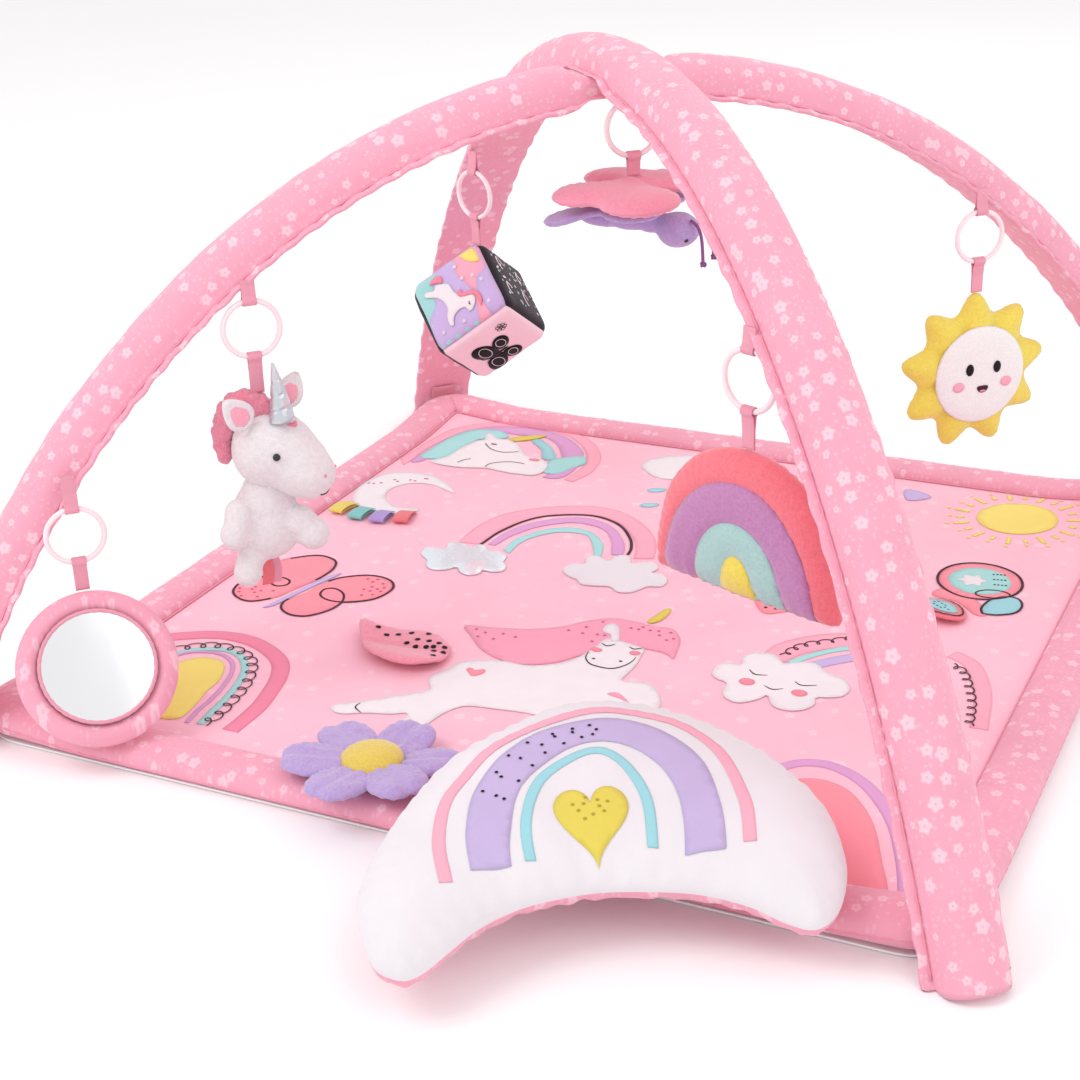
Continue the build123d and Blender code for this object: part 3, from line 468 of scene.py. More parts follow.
class Puff:
    """A stuffed shape: a flat cut swollen between its seams. Local u, v, w; place maps them to the frame."""

    def __init__(self, outer, top, bot, R, holes=(), pucker=0.0, pucker_len=0.014, reach=0.03, soft=0.0, seed=0.0,
                 crown=0.25, shape=None, place=None, valley=None):
        self.outer = resample(outer, 0.004)
        self.holes = [resample(h, 0.004) for h in holes]
        self.top, self.bot, self.R = top, bot, R
        self.pucker, self.plen, self.reach = pucker, pucker_len, reach
        self.soft, self.seed, self.crown = soft, seed, crown
        self.shape = shape
        self.valley = valley
        self.place = place or (lambda p: p)

    def profile(self, uv):
        loops = [self.outer] + self.holes
        ds, arcs, tots = [], [], []
        for l in loops:
            d, a, t = seg_dist(uv, l)
            ds.append(d)
            arcs.append(a)
            tots.append(np.full(len(uv), t))
        ds = np.array(ds)
        k = np.argmin(ds, 0)
        d = ds[k, np.arange(len(uv))]
        a = np.array(arcs)[k, np.arange(len(uv))]
        tot = np.array(tots)[k, np.arange(len(uv))]
        x = np.clip(d / self.R, 0, 1)
        f = np.sqrt(np.clip(1 - (1 - x) ** 2, 0, 1))
        return d, a, tot, k, f

    def height(self, uv, side=1):
        uv = np.asarray(uv, float).reshape(-1, 2)
        d, a, tot, k, f = self.profile(uv)
        T = self.top if side > 0 else self.bot
        n = np.maximum(np.round(tot / self.plen), 3)
        ph = a / tot * n * 2 * math.pi
        jit = vnoise(np.c_[a * 30.0, k.astype(float) * 9.0], 1.0, self.seed + (3.3 if side > 0 else 8.1))
        wave = np.sin(ph + 2.6 * jit)
        w = np.exp(-d / self.reach) * (1 - np.exp(-d / 0.0025))
        h = T * ((1 - self.crown) * f + self.crown * np.clip(d / (self.R * 2.2), 0, 1) ** 0.7 * f)
        h = h + self.pucker * wave * w * (0.6 + 0.8 * np.abs(jit))
        if self.soft:
            h = h + self.soft * vnoise(uv, 24.0, self.seed + side) * f
        if self.valley is not None:
            h = h - self.valley(uv, side) * f
        return h * (1 if side > 0 else -1)

    def world(self, uv, w):
        uv = np.asarray(uv, float).reshape(-1, 2)
        p = np.c_[uv, w]
        if self.shape is not None:
            p = self.shape(p)
        return self.place(p)

    def build(self, name, mats, step=0.006, idx=None, uvs=False):
        rings = [0.0012, 0.0032, 0.0062] if self.R > 0.012 else [0.001, 0.0025]
        P, F, loops = fill(self.outer, self.holes, step, rings)
        nb = sum(len(l) for l in loops)
        # boundary points are shared by both sides
        db = np.min([seg_dist(P, l)[0] for l in loops], 0)
        bd = db < 1e-5
        ht = self.height(P, 1)
        hb = self.height(P, -1)
        ht[bd] = 0
        hb[bd] = 0
        top = self.world(P, ht)
        bot = self.world(P, hb)
        m = np.arange(len(P)) + len(P)
        m[bd] = np.arange(len(P))[bd]
        V = np.vstack([top, bot])
        F2 = m[F][:, ::-1]
        faces = np.vstack([F, F2])
        used = np.unique(faces)
        remap = -np.ones(len(V), int)
        remap[used] = np.arange(len(used))
        mi = None
        if idx is not None:
            c = P[F].mean(1)
            mi = np.concatenate([idx(c, 1), idx(c, -1)])
        uvv = np.vstack([P, P])[used] if uvs else None
        ob = add_mesh(name, V[used], remap[faces], mats, idx=mi, uvs=uvv)
        ob["piece"] = name
        return ob

    def decal(self, lift=0.0006, side=1):
        return lambda uv: self.world(uv, self.height(uv, side) + (lift if side > 0 else -lift))


def plane_place(origin, xd, yd):
    """Local (u, v, w) in metres to the frame; w along xd x yd."""
    xd = np.asarray(xd, float)
    yd = np.asarray(yd, float)
    xd = xd / np.linalg.norm(xd)
    yd = yd / np.linalg.norm(yd)
    zd = np.cross(xd, yd)
    o = np.asarray(origin, float)
    return lambda p: o + p[:, :1] * xd + p[:, 1:2] * yd + p[:, 2:3] * zd


class Art:
    """Print and applique on a surface, gathered into one mesh for each colour."""

    def __init__(self, prefix, surf, body, slot=None):
        self.prefix, self.surf, self.body, self.slot = prefix, surf, body, slot
        self.data = {}

    def put(self, mat, P, F, lift):
        P = np.asarray(P, float)
        W = self.surf(P, lift)
        d = self.data.setdefault(mat, [[], [], 0])
        d[0].append(W)
        d[1].append(np.asarray(F) + d[2])
        d[2] += len(W)

    def area(self, mat, pts, lift=0, smooth=True, holes=(), step=0.007, n=6):
        o = catmull(pts, n) if smooth else np.asarray(pts, float)
        o = resample(o, max(step * 0.55, 0.0012))
        P, F, _ = fill(o, holes, step)
        self.put(mat, P, F, lift)

    def band(self, mat, outer, inner, lift=0, step=0.007):
        o = catmull(outer, 6, closed=False)
        i = catmull(inner, 6, closed=False)
        n = max(len(o), len(i), 12)
        o = resample(o, 1e-9 + np.sum(np.linalg.norm(np.diff(o, axis=0), axis=1)) / n, closed=False)[:n + 1]
        i = resample(i, 1e-9 + np.sum(np.linalg.norm(np.diff(i, axis=0), axis=1)) / n, closed=False)[:n + 1]
        k = min(len(o), len(i))
        o, i = o[:k], i[:k]
        rows = 5
        P = []
        for j in range(rows):
            t = j / (rows - 1)
            P.append(o * (1 - t) + i * t)
        P = np.vstack(P)
        F = []
        for j in range(rows - 1):
            for q in range(k - 1):
                a = j * k + q
                F.append((a, a + 1, a + k + 1))
                F.append((a, a + k + 1, a + k))
        self.put(mat, P, self.orient(P, F), lift)

    @staticmethod
    def orient(P, F):
        F = np.asarray(F)
        a = P[F]
        s = (a[:, 1, 0] - a[:, 0, 0]) * (a[:, 2, 1] - a[:, 0, 1]) - (a[:, 1, 1] - a[:, 0, 1]) * (a[:, 2, 0] - a[:, 0, 0])
        F = F.copy()
        F[s < 0] = F[s < 0][:, ::-1]
        return F[np.abs(s) > 1e-14]

    def line(self, mat, pts, width, lift=1, smooth=True, n=8, step=0.0025, taper=False):
        P = catmull(pts, n, closed=False) if smooth else np.asarray(pts, float)
        P = resample(P, step, closed=False)
        t = np.gradient(P, axis=0)
        t /= np.maximum(np.linalg.norm(t, axis=1), 1e-12)[:, None]
        nn = np.stack([-t[:, 1], t[:, 0]], 1)
        w = np.full(len(P), width / 2)
        if taper:
            s = np.linspace(0, 1, len(P))
            w = w * (0.35 + 0.65 * np.sin(np.pi * s))
        k = len(P)
        cols = 3 if width < 0.008 else 5
        Q = np.vstack([P + nn * (w * (2 * j / (cols - 1) - 1))[:, None] for j in range(cols)])
        F = []
        for j in range(cols - 1):
            for q in range(k - 1):
                a = j * k + q
                F.append((a, a + 1, a + k + 1))
                F.append((a, a + k + 1, a + k))
        # strips keep one winding, even where a stroke crosses itself
        F = np.asarray(F)[:, ::-1]
        self.put(mat, Q, F, lift)

    def dot(self, mat, c, rx, ry=None, rot=0.0, lift=2, n=14):
        ry = ry or rx
        a = np.linspace(0, 2 * math.pi, n, endpoint=False)
        x, y = rx * np.cos(a), ry * np.sin(a)
        cr, sr = math.cos(rot), math.sin(rot)
        P = np.stack([c[0] + x * cr - y * sr, c[1] + x * sr + y * cr], 1)
        if max(rx, ry) > 0.012:
            self.area(mat, P, lift, smooth=False, step=0.006)
            return
        mid = np.stack([c[0] + 0.5 * (x * cr - y * sr), c[1] + 0.5 * (x * sr + y * cr)], 1)
        Q = np.vstack([P, mid, [c]])
        F = []
        for i in range(n):
            j = (i + 1) % n
            F += [(i, j, n + j), (i, n + j, n + i), (n + i, n + j, 2 * n)]
        self.put(mat, Q, F, lift)

    def loops(self, mat, path, width, size, count, lift=2, side=1):
        """A scribbled row of loops along a path."""
        P = resample(catmull(path, 8, closed=False), 0.001, closed=False)
        t = np.gradient(P, axis=0)
        t /= np.maximum(np.linalg.norm(t, axis=1), 1e-12)[:, None]
        nn = np.stack([-t[:, 1], t[:, 0]], 1) * side
        s = np.linspace(0, 1, 34 * count + 1)
        idx = s * (len(P) - 1)
        L = len(P) * 0.001
        base = np.stack([np.interp(idx, np.arange(len(P)), P[:, k]) for k in (0, 1)], 1)
        tt = np.stack([np.interp(idx, np.arange(len(P)), t[:, k]) for k in (0, 1)], 1)
        nv = np.stack([np.interp(idx, np.arange(len(P)), nn[:, k]) for k in (0, 1)], 1)
        ph = s * count * 2 * math.pi
        amp = size
        Q = base + tt * (0.95 * amp * np.sin(ph))[:, None] + nv * (amp * (1 - np.cos(ph)) * 0.9)[:, None]
        self.line(mat, Q, width, lift, smooth=False, step=0.0008)

    def finish(self):
        obs = []
        for mat, (Ws, Fs, _) in self.data.items():
            ob = add_mesh(self.prefix + "_" + mat, np.vstack(Ws), np.vstack(Fs), [M[mat]])
            sol = ob.modifiers.new("thickness", "SOLIDIFY")
            sol.thickness = 0.00010
            sol.offset = 1.0
            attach(ob, self.body)
            obs.append(ob)
        return obs


# artwork outlines on the mat, millimetres in the frame's x and y
ART = {
    'mane': [(-119, -116), (-90, -109), (-57, -99), (-29, -80), (-9, -58), (7, -48), (28, -46), (49, -49), (62, -46), (72, -50), (84, -67), (90, -91), (92, -105), (86, -100), (75, -96), (59, -96), (38, -93), (25, -101), (17, -120), (8, -134), (-5, -152), (-23, -164), (-41, -168), (-51, -167), (-68, -162), (-86, -151), (-103, -134)],
    'pony': [(-88, -183), (-70, -173), (-51, -167), (-31, -168), (-15, -162), (0, -152), (9, -136), (13, -123), (16, -108), (18, -91), (32, -90), (48, -93), (60, -97), (62, -110), (65, -127), (65, -144), (65, -163), (78, -160), (90, -160), (101, -168), (110, -181), (115, -198), (107, -228), (93, -247), (51, -251), (9, -250), (-22, -253), (-45, -257), (-55, -271), (-59, -289), (-60, -305), (-61, -332), (-79, -335), (-83, -306), (-86, -289), (-100, -297), (-124, -305), (-137, -312), (-148, -312), (-155, -305), (-151, -297), (-135, -286), (-108, -262), (-89, -243), (-98, -229), (-101, -218), (-93, -200)],
    'pony_ear': [(7, -74), (7, -63), (12, -58), (21, -66), (28, -82), (31, -91), (24, -94), (19, -82), (12, -80)],
    'pony_horn': [(40, -42), (42, -27), (46, -11), (51, -8), (53, -20), (51, -36), (45, -45)],
    'pony_heart': [(-77, -194), (-74, -190), (-68, -193), (-62, -189), (-58, -192), (-59, -199), (-65, -205), (-71, -201)],
    'pony_eye1': [(18, -101), (25, -104), (31, -98)],
    'pony_eye2': [(45, -98), (51, -101), (58, -96)],
    'pony_smile': [(14, -122), (16, -133), (24, -143), (35, -146), (48, -144), (56, -134), (59, -124), (59, -115)],
    'pony_cheeks': [(19, -115), (55, -108)],
    'pony_nose': [(24, -133), (49, -128)],
    'pony_fold': [(63, -191), (72, -186), (88, -199), (78, -195)],
    'pony_hoof': [(-134, -289), (-134, -298), (-124, -305)],
    'mane_dots': [(1, -59), (-9, -76), (-7, -89), (7, -86), (14, -85), (8, -101), (-22, -88), (31, -61), (39, -61), (41, -55), (50, -59), (58, -57), (62, -65), (72, -72), (77, -67), (70, -56), (-105, -119), (-97, -132), (-94, -122), (-81, -131), (-77, -118), (-63, -120)],
    'tail_edge': [(-216, -154), (-193, -156), (-168, -151), (-147, -146), (-128, -149), (-111, -161), (-102, -171), (-97, -197), (-103, -214), (-118, -226), (-142, -227), (-171, -216), (-189, -197)],
    'tail_dots': [(-189, -166), (-174, -175), (-164, -168), (-153, -159), (-135, -154), (-146, -182), (-139, -171), (-126, -170), (-114, -170), (-105, -175), (-134, -185), (-123, -182), (-116, -179), (-112, -186), (-102, -184), (-105, -200)],
    'r1_pink_o': [(-399, 254), (-397, 275), (-392, 327), (-377, 363), (-331, 408), (-267, 417), (-215, 388), (-179, 343), (-167, 292), (-176, 256)],
    'r1_pink_i': [(-382, 232), (-381, 250), (-383, 289), (-366, 355), (-320, 394), (-263, 397), (-223, 373), (-195, 337), (-184, 302), (-188, 259)],
    'r1_purple': [(-380, 247), (-381, 287), (-366, 356), (-323, 393), (-290, 399), (-249, 387), (-214, 359), (-196, 331), (-189, 289), (-194, 260), (-214, 257), (-210, 270), (-208, 298), (-221, 324), (-245, 359), (-269, 373), (-302, 368), (-340, 371), (-363, 350), (-365, 278), (-366, 260), (-372, 246)],
    'r1_teal': [(-277, 362), (-264, 363), (-242, 342), (-226, 319), (-226, 308), (-238, 308), (-252, 333), (-273, 353)],
    's_mane': [(-377, 263), (-378, 297), (-373, 334), (-359, 361), (-340, 372), (-322, 372), (-307, 359), (-312, 351), (-330, 343), (-339, 334), (-344, 301), (-346, 275), (-360, 263)],
    's_tail': [(-223, 276), (-227, 308), (-213, 322), (-195, 331), (-185, 312), (-193, 293), (-201, 274), (-213, 268)],
    's_body': [(-359, 258), (-347, 277), (-345, 303), (-338, 333), (-330, 340), (-337, 354), (-332, 361), (-319, 349), (-302, 349), (-285, 338), (-270, 320), (-260, 309), (-242, 308), (-227, 297), (-222, 287), (-220, 269), (-227, 257), (-246, 254), (-269, 256), (-289, 259), (-312, 252), (-335, 250), (-353, 252)],
    's_horn': [(-303, 349), (-298, 360), (-282, 372), (-265, 380), (-273, 363), (-292, 348)],
    's_line1': [(-323, 327), (-309, 314), (-291, 309), (-274, 317)],
    's_line2': [(-327, 263), (-323, 273), (-317, 278)],
    's_line3': [(-290, 262), (-288, 273), (-270, 284), (-251, 285)],
    's_marks': [(-245, 300), (-312, 328)],
    'r2_pink_o': [(-219, 60), (-220, 102), (-209, 141), (-182, 173), (-148, 194), (-107, 202), (-68, 185), (-36, 155), (-19, 124), (-10, 96)],
    'r2_pink_i': [(-195, 63), (-190, 108), (-171, 150), (-138, 173), (-106, 177), (-77, 165), (-53, 139), (-39, 116), (-30, 89)],
    'r2_line': [(-194, 62), (-189, 105), (-170, 148), (-137, 171), (-105, 175), (-76, 161), (-53, 134), (-42, 111), (-39, 95)],
    'r2_purple_o': [(-187, 66), (-182, 107), (-163, 141), (-137, 163), (-108, 168), (-79, 152), (-56, 124), (-46, 102), (-44, 91)],
    'r2_purple_i': [(-178, 65), (-171, 100), (-154, 130), (-131, 149), (-105, 152), (-84, 141), (-68, 119), (-61, 103), (-55, 89)],
    'r2_teal_o': [(-165, 58), (-165, 88), (-151, 117), (-135, 133), (-114, 139), (-94, 132), (-75, 112), (-67, 94), (-62, 77)],
    'r2_teal_i': [(-155, 53), (-156, 78), (-148, 102), (-133, 120), (-116, 126), (-98, 124), (-83, 104), (-76, 91), (-69, 75)],
    'cloud_a': [(-241, 17), (-244, 32), (-235, 38), (-223, 38), (-227, 50), (-220, 57), (-207, 56), (-199, 49), (-197, 59), (-188, 61), (-178, 51), (-166, 51), (-154, 45), (-151, 32), (-143, 22), (-141, 10), (-150, 4), (-161, 4), (-161, -4), (-170, -12), (-182, -8), (-190, 1), (-197, -8), (-210, -13), (-222, -7), (-227, 5)],
    'cloud_b': [(-84, 32), (-86, 47), (-78, 54), (-70, 55), (-75, 71), (-66, 79), (-51, 71), (-49, 86), (-36, 91), (-25, 75), (-18, 82), (-4, 85), (4, 73), (2, 62), (15, 61), (24, 49), (23, 36), (11, 31), (6, 21), (0, 10), (-13, 7), (-25, 15), (-40, 11), (-54, 10), (-63, 19), (-72, 22)],
    'moon': [(-387, 125), (-401, 165), (-390, 202), (-358, 217), (-322, 211), (-286, 180), (-298, 182), (-324, 191), (-349, 184), (-360, 161), (-351, 136), (-329, 120), (-300, 122), (-307, 101), (-334, 94), (-364, 101)],
    'white_cloud': [(-123, 330), (-120, 351), (-104, 367), (-82, 379), (-65, 369), (-64, 335), (-73, 303), (-95, 304), (-112, 317)],
    'drops': [(-78, 269), (-69, 226)],
    'b_left': [(-371, -53), (-367, -44), (-348, -31), (-333, -26), (-315, -32), (-307, -48), (-308, -65), (-310, -80), (-315, -96), (-319, -108), (-324, -124), (-330, -132), (-344, -145), (-361, -145), (-374, -134), (-380, -120), (-377, -106), (-363, -94), (-368, -82), (-371, -64)],
    'b_right': [(-312, -127), (-305, -112), (-301, -93), (-296, -78), (-288, -65), (-268, -51), (-251, -48), (-235, -54), (-226, -67), (-226, -85), (-235, -99), (-247, -109), (-258, -116), (-261, -132), (-267, -146), (-279, -156), (-293, -157), (-306, -150), (-313, -137)],
    'b_s1': [(-371, -53), (-372, -67), (-366, -88), (-356, -98), (-341, -106), (-332, -101), (-333, -92), (-341, -87), (-353, -87), (-364, -91), (-374, -100), (-379, -115), (-374, -134), (-359, -145), (-344, -145), (-330, -132)],
    'b_s2': [(-363, -43), (-348, -31), (-333, -26), (-315, -32), (-307, -50), (-308, -67), (-310, -79)],
    'b_s3': [(-296, -78), (-288, -65), (-268, -51), (-251, -48), (-235, -54), (-226, -69), (-228, -88), (-238, -103), (-257, -114), (-275, -115), (-287, -108), (-290, -96), (-283, -90), (-272, -93), (-263, -102), (-258, -116), (-260, -134), (-269, -149), (-279, -156), (-293, -157), (-307, -149), (-313, -136), (-312, -127)],
    'b_body': [(-326, -154), (-323, -143), (-318, -121), (-312, -101), (-306, -74), (-294, -55), (-294, -62), (-300, -82), (-308, -108), (-313, -129), (-318, -147)],
    'b_dots': [(-261, -58), (-251, -55), (-253, -62), (-241, -62), (-248, -72), (-240, -75), (-235, -70), (-253, -80), (-245, -81), (-248, -93), (-238, -88), (-234, -79), (-372, -125), (-370, -116), (-368, -108), (-366, -103), (-359, -122), (-359, -116), (-349, -121), (-353, -127), (-361, -139), (-345, -134), (-337, -117), (-368, -132)],
    'y_core': [(-338, -308), (-338, -298), (-334, -284), (-323, -269), (-309, -264), (-296, -267), (-286, -280), (-278, -301), (-277, -320), (-273, -341), (-270, -362), (-272, -374), (-284, -379), (-301, -378), (-325, -346)],
    'y_purple': [(-347, -296), (-341, -269), (-326, -257), (-306, -254), (-288, -264), (-276, -283), (-268, -310), (-265, -332), (-264, -354), (-260, -377)],
    'y_teal': [(-354, -289), (-345, -268), (-330, -253), (-310, -245), (-292, -248), (-277, -260), (-265, -279), (-257, -306), (-252, -333), (-250, -354), (-247, -375)],
    'y_loops': [(-364, -270), (-348, -251), (-327, -237), (-307, -234), (-286, -239), (-265, -255), (-250, -283), (-242, -310), (-238, -334), (-236, -357), (-240, -375)],
    'y_pink': [(-385, -253), (-357, -233), (-329, -220), (-299, -219), (-271, -229), (-246, -247), (-231, -272), (-222, -301), (-216, -331), (-216, -374)],
    'dot_shape': [(107, 70), (125, 76), (147, 73), (165, 69), (185, 61), (172, 43), (155, 26), (140, 16), (128, 25), (117, 44)],
    'dot_shape_dots': [(117, 62), (120, 49), (133, 52), (143, 65), (148, 53), (128, 39), (142, 41), (135, 28), (145, 29), (162, 59), (170, 50), (161, 39)],
    'face_cloud': [(135, -118), (135, -100), (144, -93), (154, -93), (150, -76), (160, -64), (176, -63), (190, -76), (199, -68), (216, -65), (232, -79), (248, -85), (259, -100), (257, -116), (247, -123), (236, -127), (239, -140), (232, -153), (218, -158), (205, -154), (195, -138), (190, -148), (176, -161), (162, -157), (156, -145), (154, -131), (143, -127)],
    'fc_eye1': [(164, -99), (172, -106), (183, -103)],
    'fc_eye2': [(209, -104), (217, -109), (230, -104)],
    'fc_smile': [(186, -122), (196, -126), (204, -121)],
    'fc_cheeks': [(170, -122), (220, -124)],
    'fc_pink_o': [(164, -68), (169, -42), (187, -18), (214, 0), (244, 10), (271, -1), (289, -25)],
    'fc_pink_i': [(189, -73), (198, -52), (216, -34), (231, -23), (248, -18), (264, -25), (275, -41)],
    'fc_teal': [(193, -72), (210, -47), (232, -27), (251, -21), (267, -29)],
    'fc_purple': [(210, -73), (231, -52), (249, -38), (265, -43)],
    'fc_loops': [(180, -61), (185, -41), (196, -26), (214, -13), (234, 3), (255, 3)],
    'feather': [(178, 365), (192, 368), (211, 355), (200, 341), (187, 339)],
    'sun_c': [(310, 331), (351, 341), (319, 290)],
    'w_up': [(311, 163), (350, 172), (322, 123)],
    'w_low': [(331, 91), (327, 104), (331, 123), (342, 136), (355, 136), (362, 121), (359, 104), (345, 93)],
    'w_loop': [(330, 137), (346, 141), (332, 128)],
    'w_body': [(280, 124), (305, 116), (331, 91)],
    'w_flap': [(277, 113), (288, 118), (306, 110), (331, 89), (331, 75), (321, 60), (309, 55), (292, 73)],
    'rs_band': [(325, -1), (346, -13), (363, -46), (373, -81), (381, -128)],
    'rs_loops': [(332, -18), (346, -28), (359, -57), (369, -87), (376, -126)],
    'br_purple': [(240, -261), (259, -239), (288, -234), (321, -253), (354, -296), (377, -348), (393, -398)],
    'br_coral': [(258, -287), (278, -259), (309, -266), (339, -302), (362, -354), (380, -410), (344, -426), (298, -381)],
}


# ============================================================ STAGE AND CAMERA
def stage():
    me = bpy.data.meshes.new("floor")
    s = 6.0
    me.from_pydata([(-s, -s, -0.0006), (s, -s, -0.0006), (s, s, -0.0006), (-s, s, -0.0006)], [], [(0, 1, 2, 3)])
    fl = bpy.data.objects.new("floor", me)
    bpy.context.scene.collection.objects.link(fl)
    m = Mat("floor_pale", rough=0.9, spec=0.1)
    m.color(m.mix(m.remap(m.noise(2.0, 2.0), 0.3, 0.7, 0.0, 0.2), lin("FBFBFB"), lin("F6F5F5")))
    me.materials.append(m.m)
    w = bpy.data.worlds.new("studio")
    bpy.context.scene.world = w
    w.use_nodes = True
    w.node_tree.nodes["Background"].inputs[0].default_value = (1.0, 0.985, 0.99, 1.0)
    w.node_tree.nodes["Background"].inputs[1].default_value = 0.94

    def area(name, loc, size, power, target=(0, 0, 0.15)):
        ld = bpy.data.lights.new(name, "AREA")
        ld.energy = power
        ld.size = size
        lo = bpy.data.objects.new(name, ld)
        lo.location = loc
        d = Vector(target) - Vector(loc)
        lo.rotation_euler = d.to_track_quat("-Z", "Y").to_euler()
        bpy.context.scene.collection.objects.link(lo)

    area("key", (-1.4, -1.6, 2.6), 1.6, 27.0)
    area("fill", (2.2, -1.0, 1.8), 2.0, 10.0)
    area("back", (0.5, 2.4, 2.2), 2.0, 13.0)

    loc = np.array([0.6831, -1.566, 0.8327])
    yaw, pitch, roll = 0.46, 0.4156, -0.0359
    fwd = np.array([-math.sin(yaw) * math.cos(pitch), math.cos(yaw) * math.cos(pitch), -math.sin(pitch)])
    r0 = np.array([math.cos(yaw), math.sin(yaw), 0.0])
    u0 = np.cross(r0, fwd)
    r = r0 * math.cos(roll) + u0 * math.sin(roll)
    u = -r0 * math.sin(roll) + u0 * math.cos(roll)
    cam = bpy.data.cameras.new("camera")
    cam.sensor_width = 36.0
    cam.sensor_fit = "HORIZONTAL"
    cam.lens = 1916.0 / 1080.0 * 36.0
    cam.clip_end = 50.0
    co = bpy.data.objects.new("camera", cam)
    co.matrix_world = Matrix(((r[0], u[0], -fwd[0], loc[0]), (r[1], u[1], -fwd[1], loc[1]),
                              (r[2], u[2], -fwd[2], loc[2]), (0, 0, 0, 1)))
    bpy.context.scene.collection.objects.link(co)
    bpy.context.scene.camera = co
    bpy.context.scene.view_settings.view_transform = "Standard"
    bpy.context.scene.view_settings.look = "None"


stage()


# ============================================================ MAT
PANEL = 0.014
SIDE, CORNER, BORDER = 0.900, 0.050, 0.048


def smooth01(x):
    x = np.clip(x, 0, 1)
    return x * x * (3 - 2 * x)


def corner_lift(x, y):
    """The arch legs pull the mat's corners up a little on their inner side."""
    d = np.hypot(np.abs(x) - 0.425, np.abs(y) - 0.425)
    return 0.009 * smooth01(1 - d / 0.12)


def mat_height(uv):
    x, y = uv[:, 0], uv[:, 1]
    e = np.minimum(0.402 - np.abs(x), 0.402 - np.abs(y))
    base = PANEL + 0.0012 * vnoise(uv, 9.0, 1.7) * smooth01(e / 0.05)
    base = base + 0.0006 * vnoise(uv, 40.0, 5.1) * smooth01(e / 0.03)
    base = base - 0.0015 * (1 - smooth01(e / 0.02))
    return base + corner_lift(x, y)


def mat_surf(P, lift):
    z = mat_height(P) + 0.0003 + 0.00022 * lift
    return np.c_[P, z]


def grid_patch(name, x0, x1, y0, y1, nx, ny, zf, mat, uv=True):
    xs = np.linspace(x0, x1, nx)
    ys = np.linspace(y0, y1, ny)
    G = np.array([(x, y) for y in ys for x in xs])
    z = zf(G)
    V = np.c_[G, z]
    F = [(j * nx + i, j * nx + i + 1, (j + 1) * nx + i + 1, (j + 1) * nx + i) for j in range(ny - 1) for i in range(nx - 1)]
    return V, F, G


def build_mat():
    # quilt top: one crowned sheet over the filling, closed underneath
    n = 170
    V, F, G = grid_patch("t", -0.403, 0.403, -0.403, 0.403, n, n, mat_height, None)
    m = len(V)
    # rim walls down to the underside
    rim = [i for i in range(n)] + [j * n + n - 1 for j in range(1, n)] + [(n - 1) * n + i for i in range(n - 2, -1, -1)] \
        + [j * n for j in range(n - 2, 0, -1)]
    low = [(V[i][0], V[i][1], 0.004) for i in rim]
    k = len(rim)
    faces = [tuple(f) for f in F]
    for i in range(k):
        j = (i + 1) % k
        faces.append((rim[i], m + i, m + j, rim[j]))
    faces.append(tuple(m + i for i in range(k))[::-1])
    VV = np.vstack([V, low])
    ob = add_mesh("quilt_top", VV, faces, [PINK_MAT])
    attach(ob, "mat")
    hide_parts("mat_top_cover", "mat_batting")

    # backing cloth, showing as a pale edge under the border
    H = SIDE / 2
    path = rounded_square(H - 0.004, CORNER, 0.004)
    P, FF, _ = fill(path, (), 0.03)
    z0, z1 = 0.0002, 0.0022
    nb = len(P)
    Vb = np.vstack([np.c_[P, np.full(nb, z1)], np.c_[P, np.full(nb, z0)]])
    loop = boundary_loop(FF)
    faces = [tuple(f) for f in FF] + [tuple(nb + i for i in f[::-1]) for f in FF]
    for a, b in loop:
        faces.append((b, a, nb + a, nb + b))
    ob = add_mesh("backing", Vb, faces, [M["backing"]], smooth=False)
    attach(ob, "mat")
    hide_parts("mat_bottom_cover")

    # padded border: one roll swept round the mat in four lengths, mitred at the corners
    for name, k0 in (("front", 0), ("right", 1), ("back", 2), ("left", 3)):
        roll = border_roll(k0)
        ob = add_mesh("border_" + name, roll[0], roll[1], [M["floral"]])
        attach(ob, "mat")
        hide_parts("mat_border_" + name)
    # piping-like seam where the border meets the quilt top
    for off, nm, zz in ((BORDER + 0.001, "seam_inner", None), (0.0015, "seam_outer", 0.0085)):
        ring = rounded_square(H - off, max(CORNER - off, 0.006), 0.004)
        seg = tube_ring(ring, 0.0011 if zz is None else 0.0018, zz)
        ob = add_mesh(nm, seg[0], seg[1], [M["seam"]])
        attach(ob, "mat")


def rounded_square(h, r, step):
    pts = []
    for cx, cy, a0 in ((h - r, h - r, 0), (-h + r, h - r, 90), (-h + r, -h + r, 180), (h - r, -h + r, 270)):
        for k in range(13):
            a = math.radians(a0 + 90 * k / 12)
            pts.append((cx + r * math.cos(a), cy + r * math.sin(a)))
    return resample(pts, step)


def boundary_loop(F):
    cnt = {}
    for f in F:
        for i in range(3):
            a, b = int(f[i]), int(f[(i + 1) % 3])
            cnt[(a, b)] = cnt.get((a, b), 0) + 1
    return [e for e in cnt if (e[1], e[0]) not in cnt]


def tube_ring(P, r, z):
    V, F = [], []
    n = len(P)
    t = np.roll(P, -1, 0) - np.roll(P, 1, 0)
    t /= np.linalg.norm(t, axis=1)[:, None]
    nn = np.stack([-t[:, 1], t[:, 0]], 1)
    for i in range(n):
        zz = (mat_height(P[i:i + 1])[0] + 0.0012) if z is None else z + corner_lift(P[i, 0], P[i, 1])
        for k in range(8):
            a = 2 * math.pi * k / 8
            rr = r * (1 + 0.12 * math.sin(i * 1.9))
            V.append((P[i, 0] + nn[i, 0] * rr * math.cos(a), P[i, 1] + nn[i, 1] * rr * math.cos(a), zz + rr * math.sin(a)))
    for i in range(n):
        j = (i + 1) % n
        for k in range(8):
            l = (k + 1) % 8
            F.append((i * 8 + k, i * 8 + l, j * 8 + l, j * 8 + k))
    return np.array(V), F


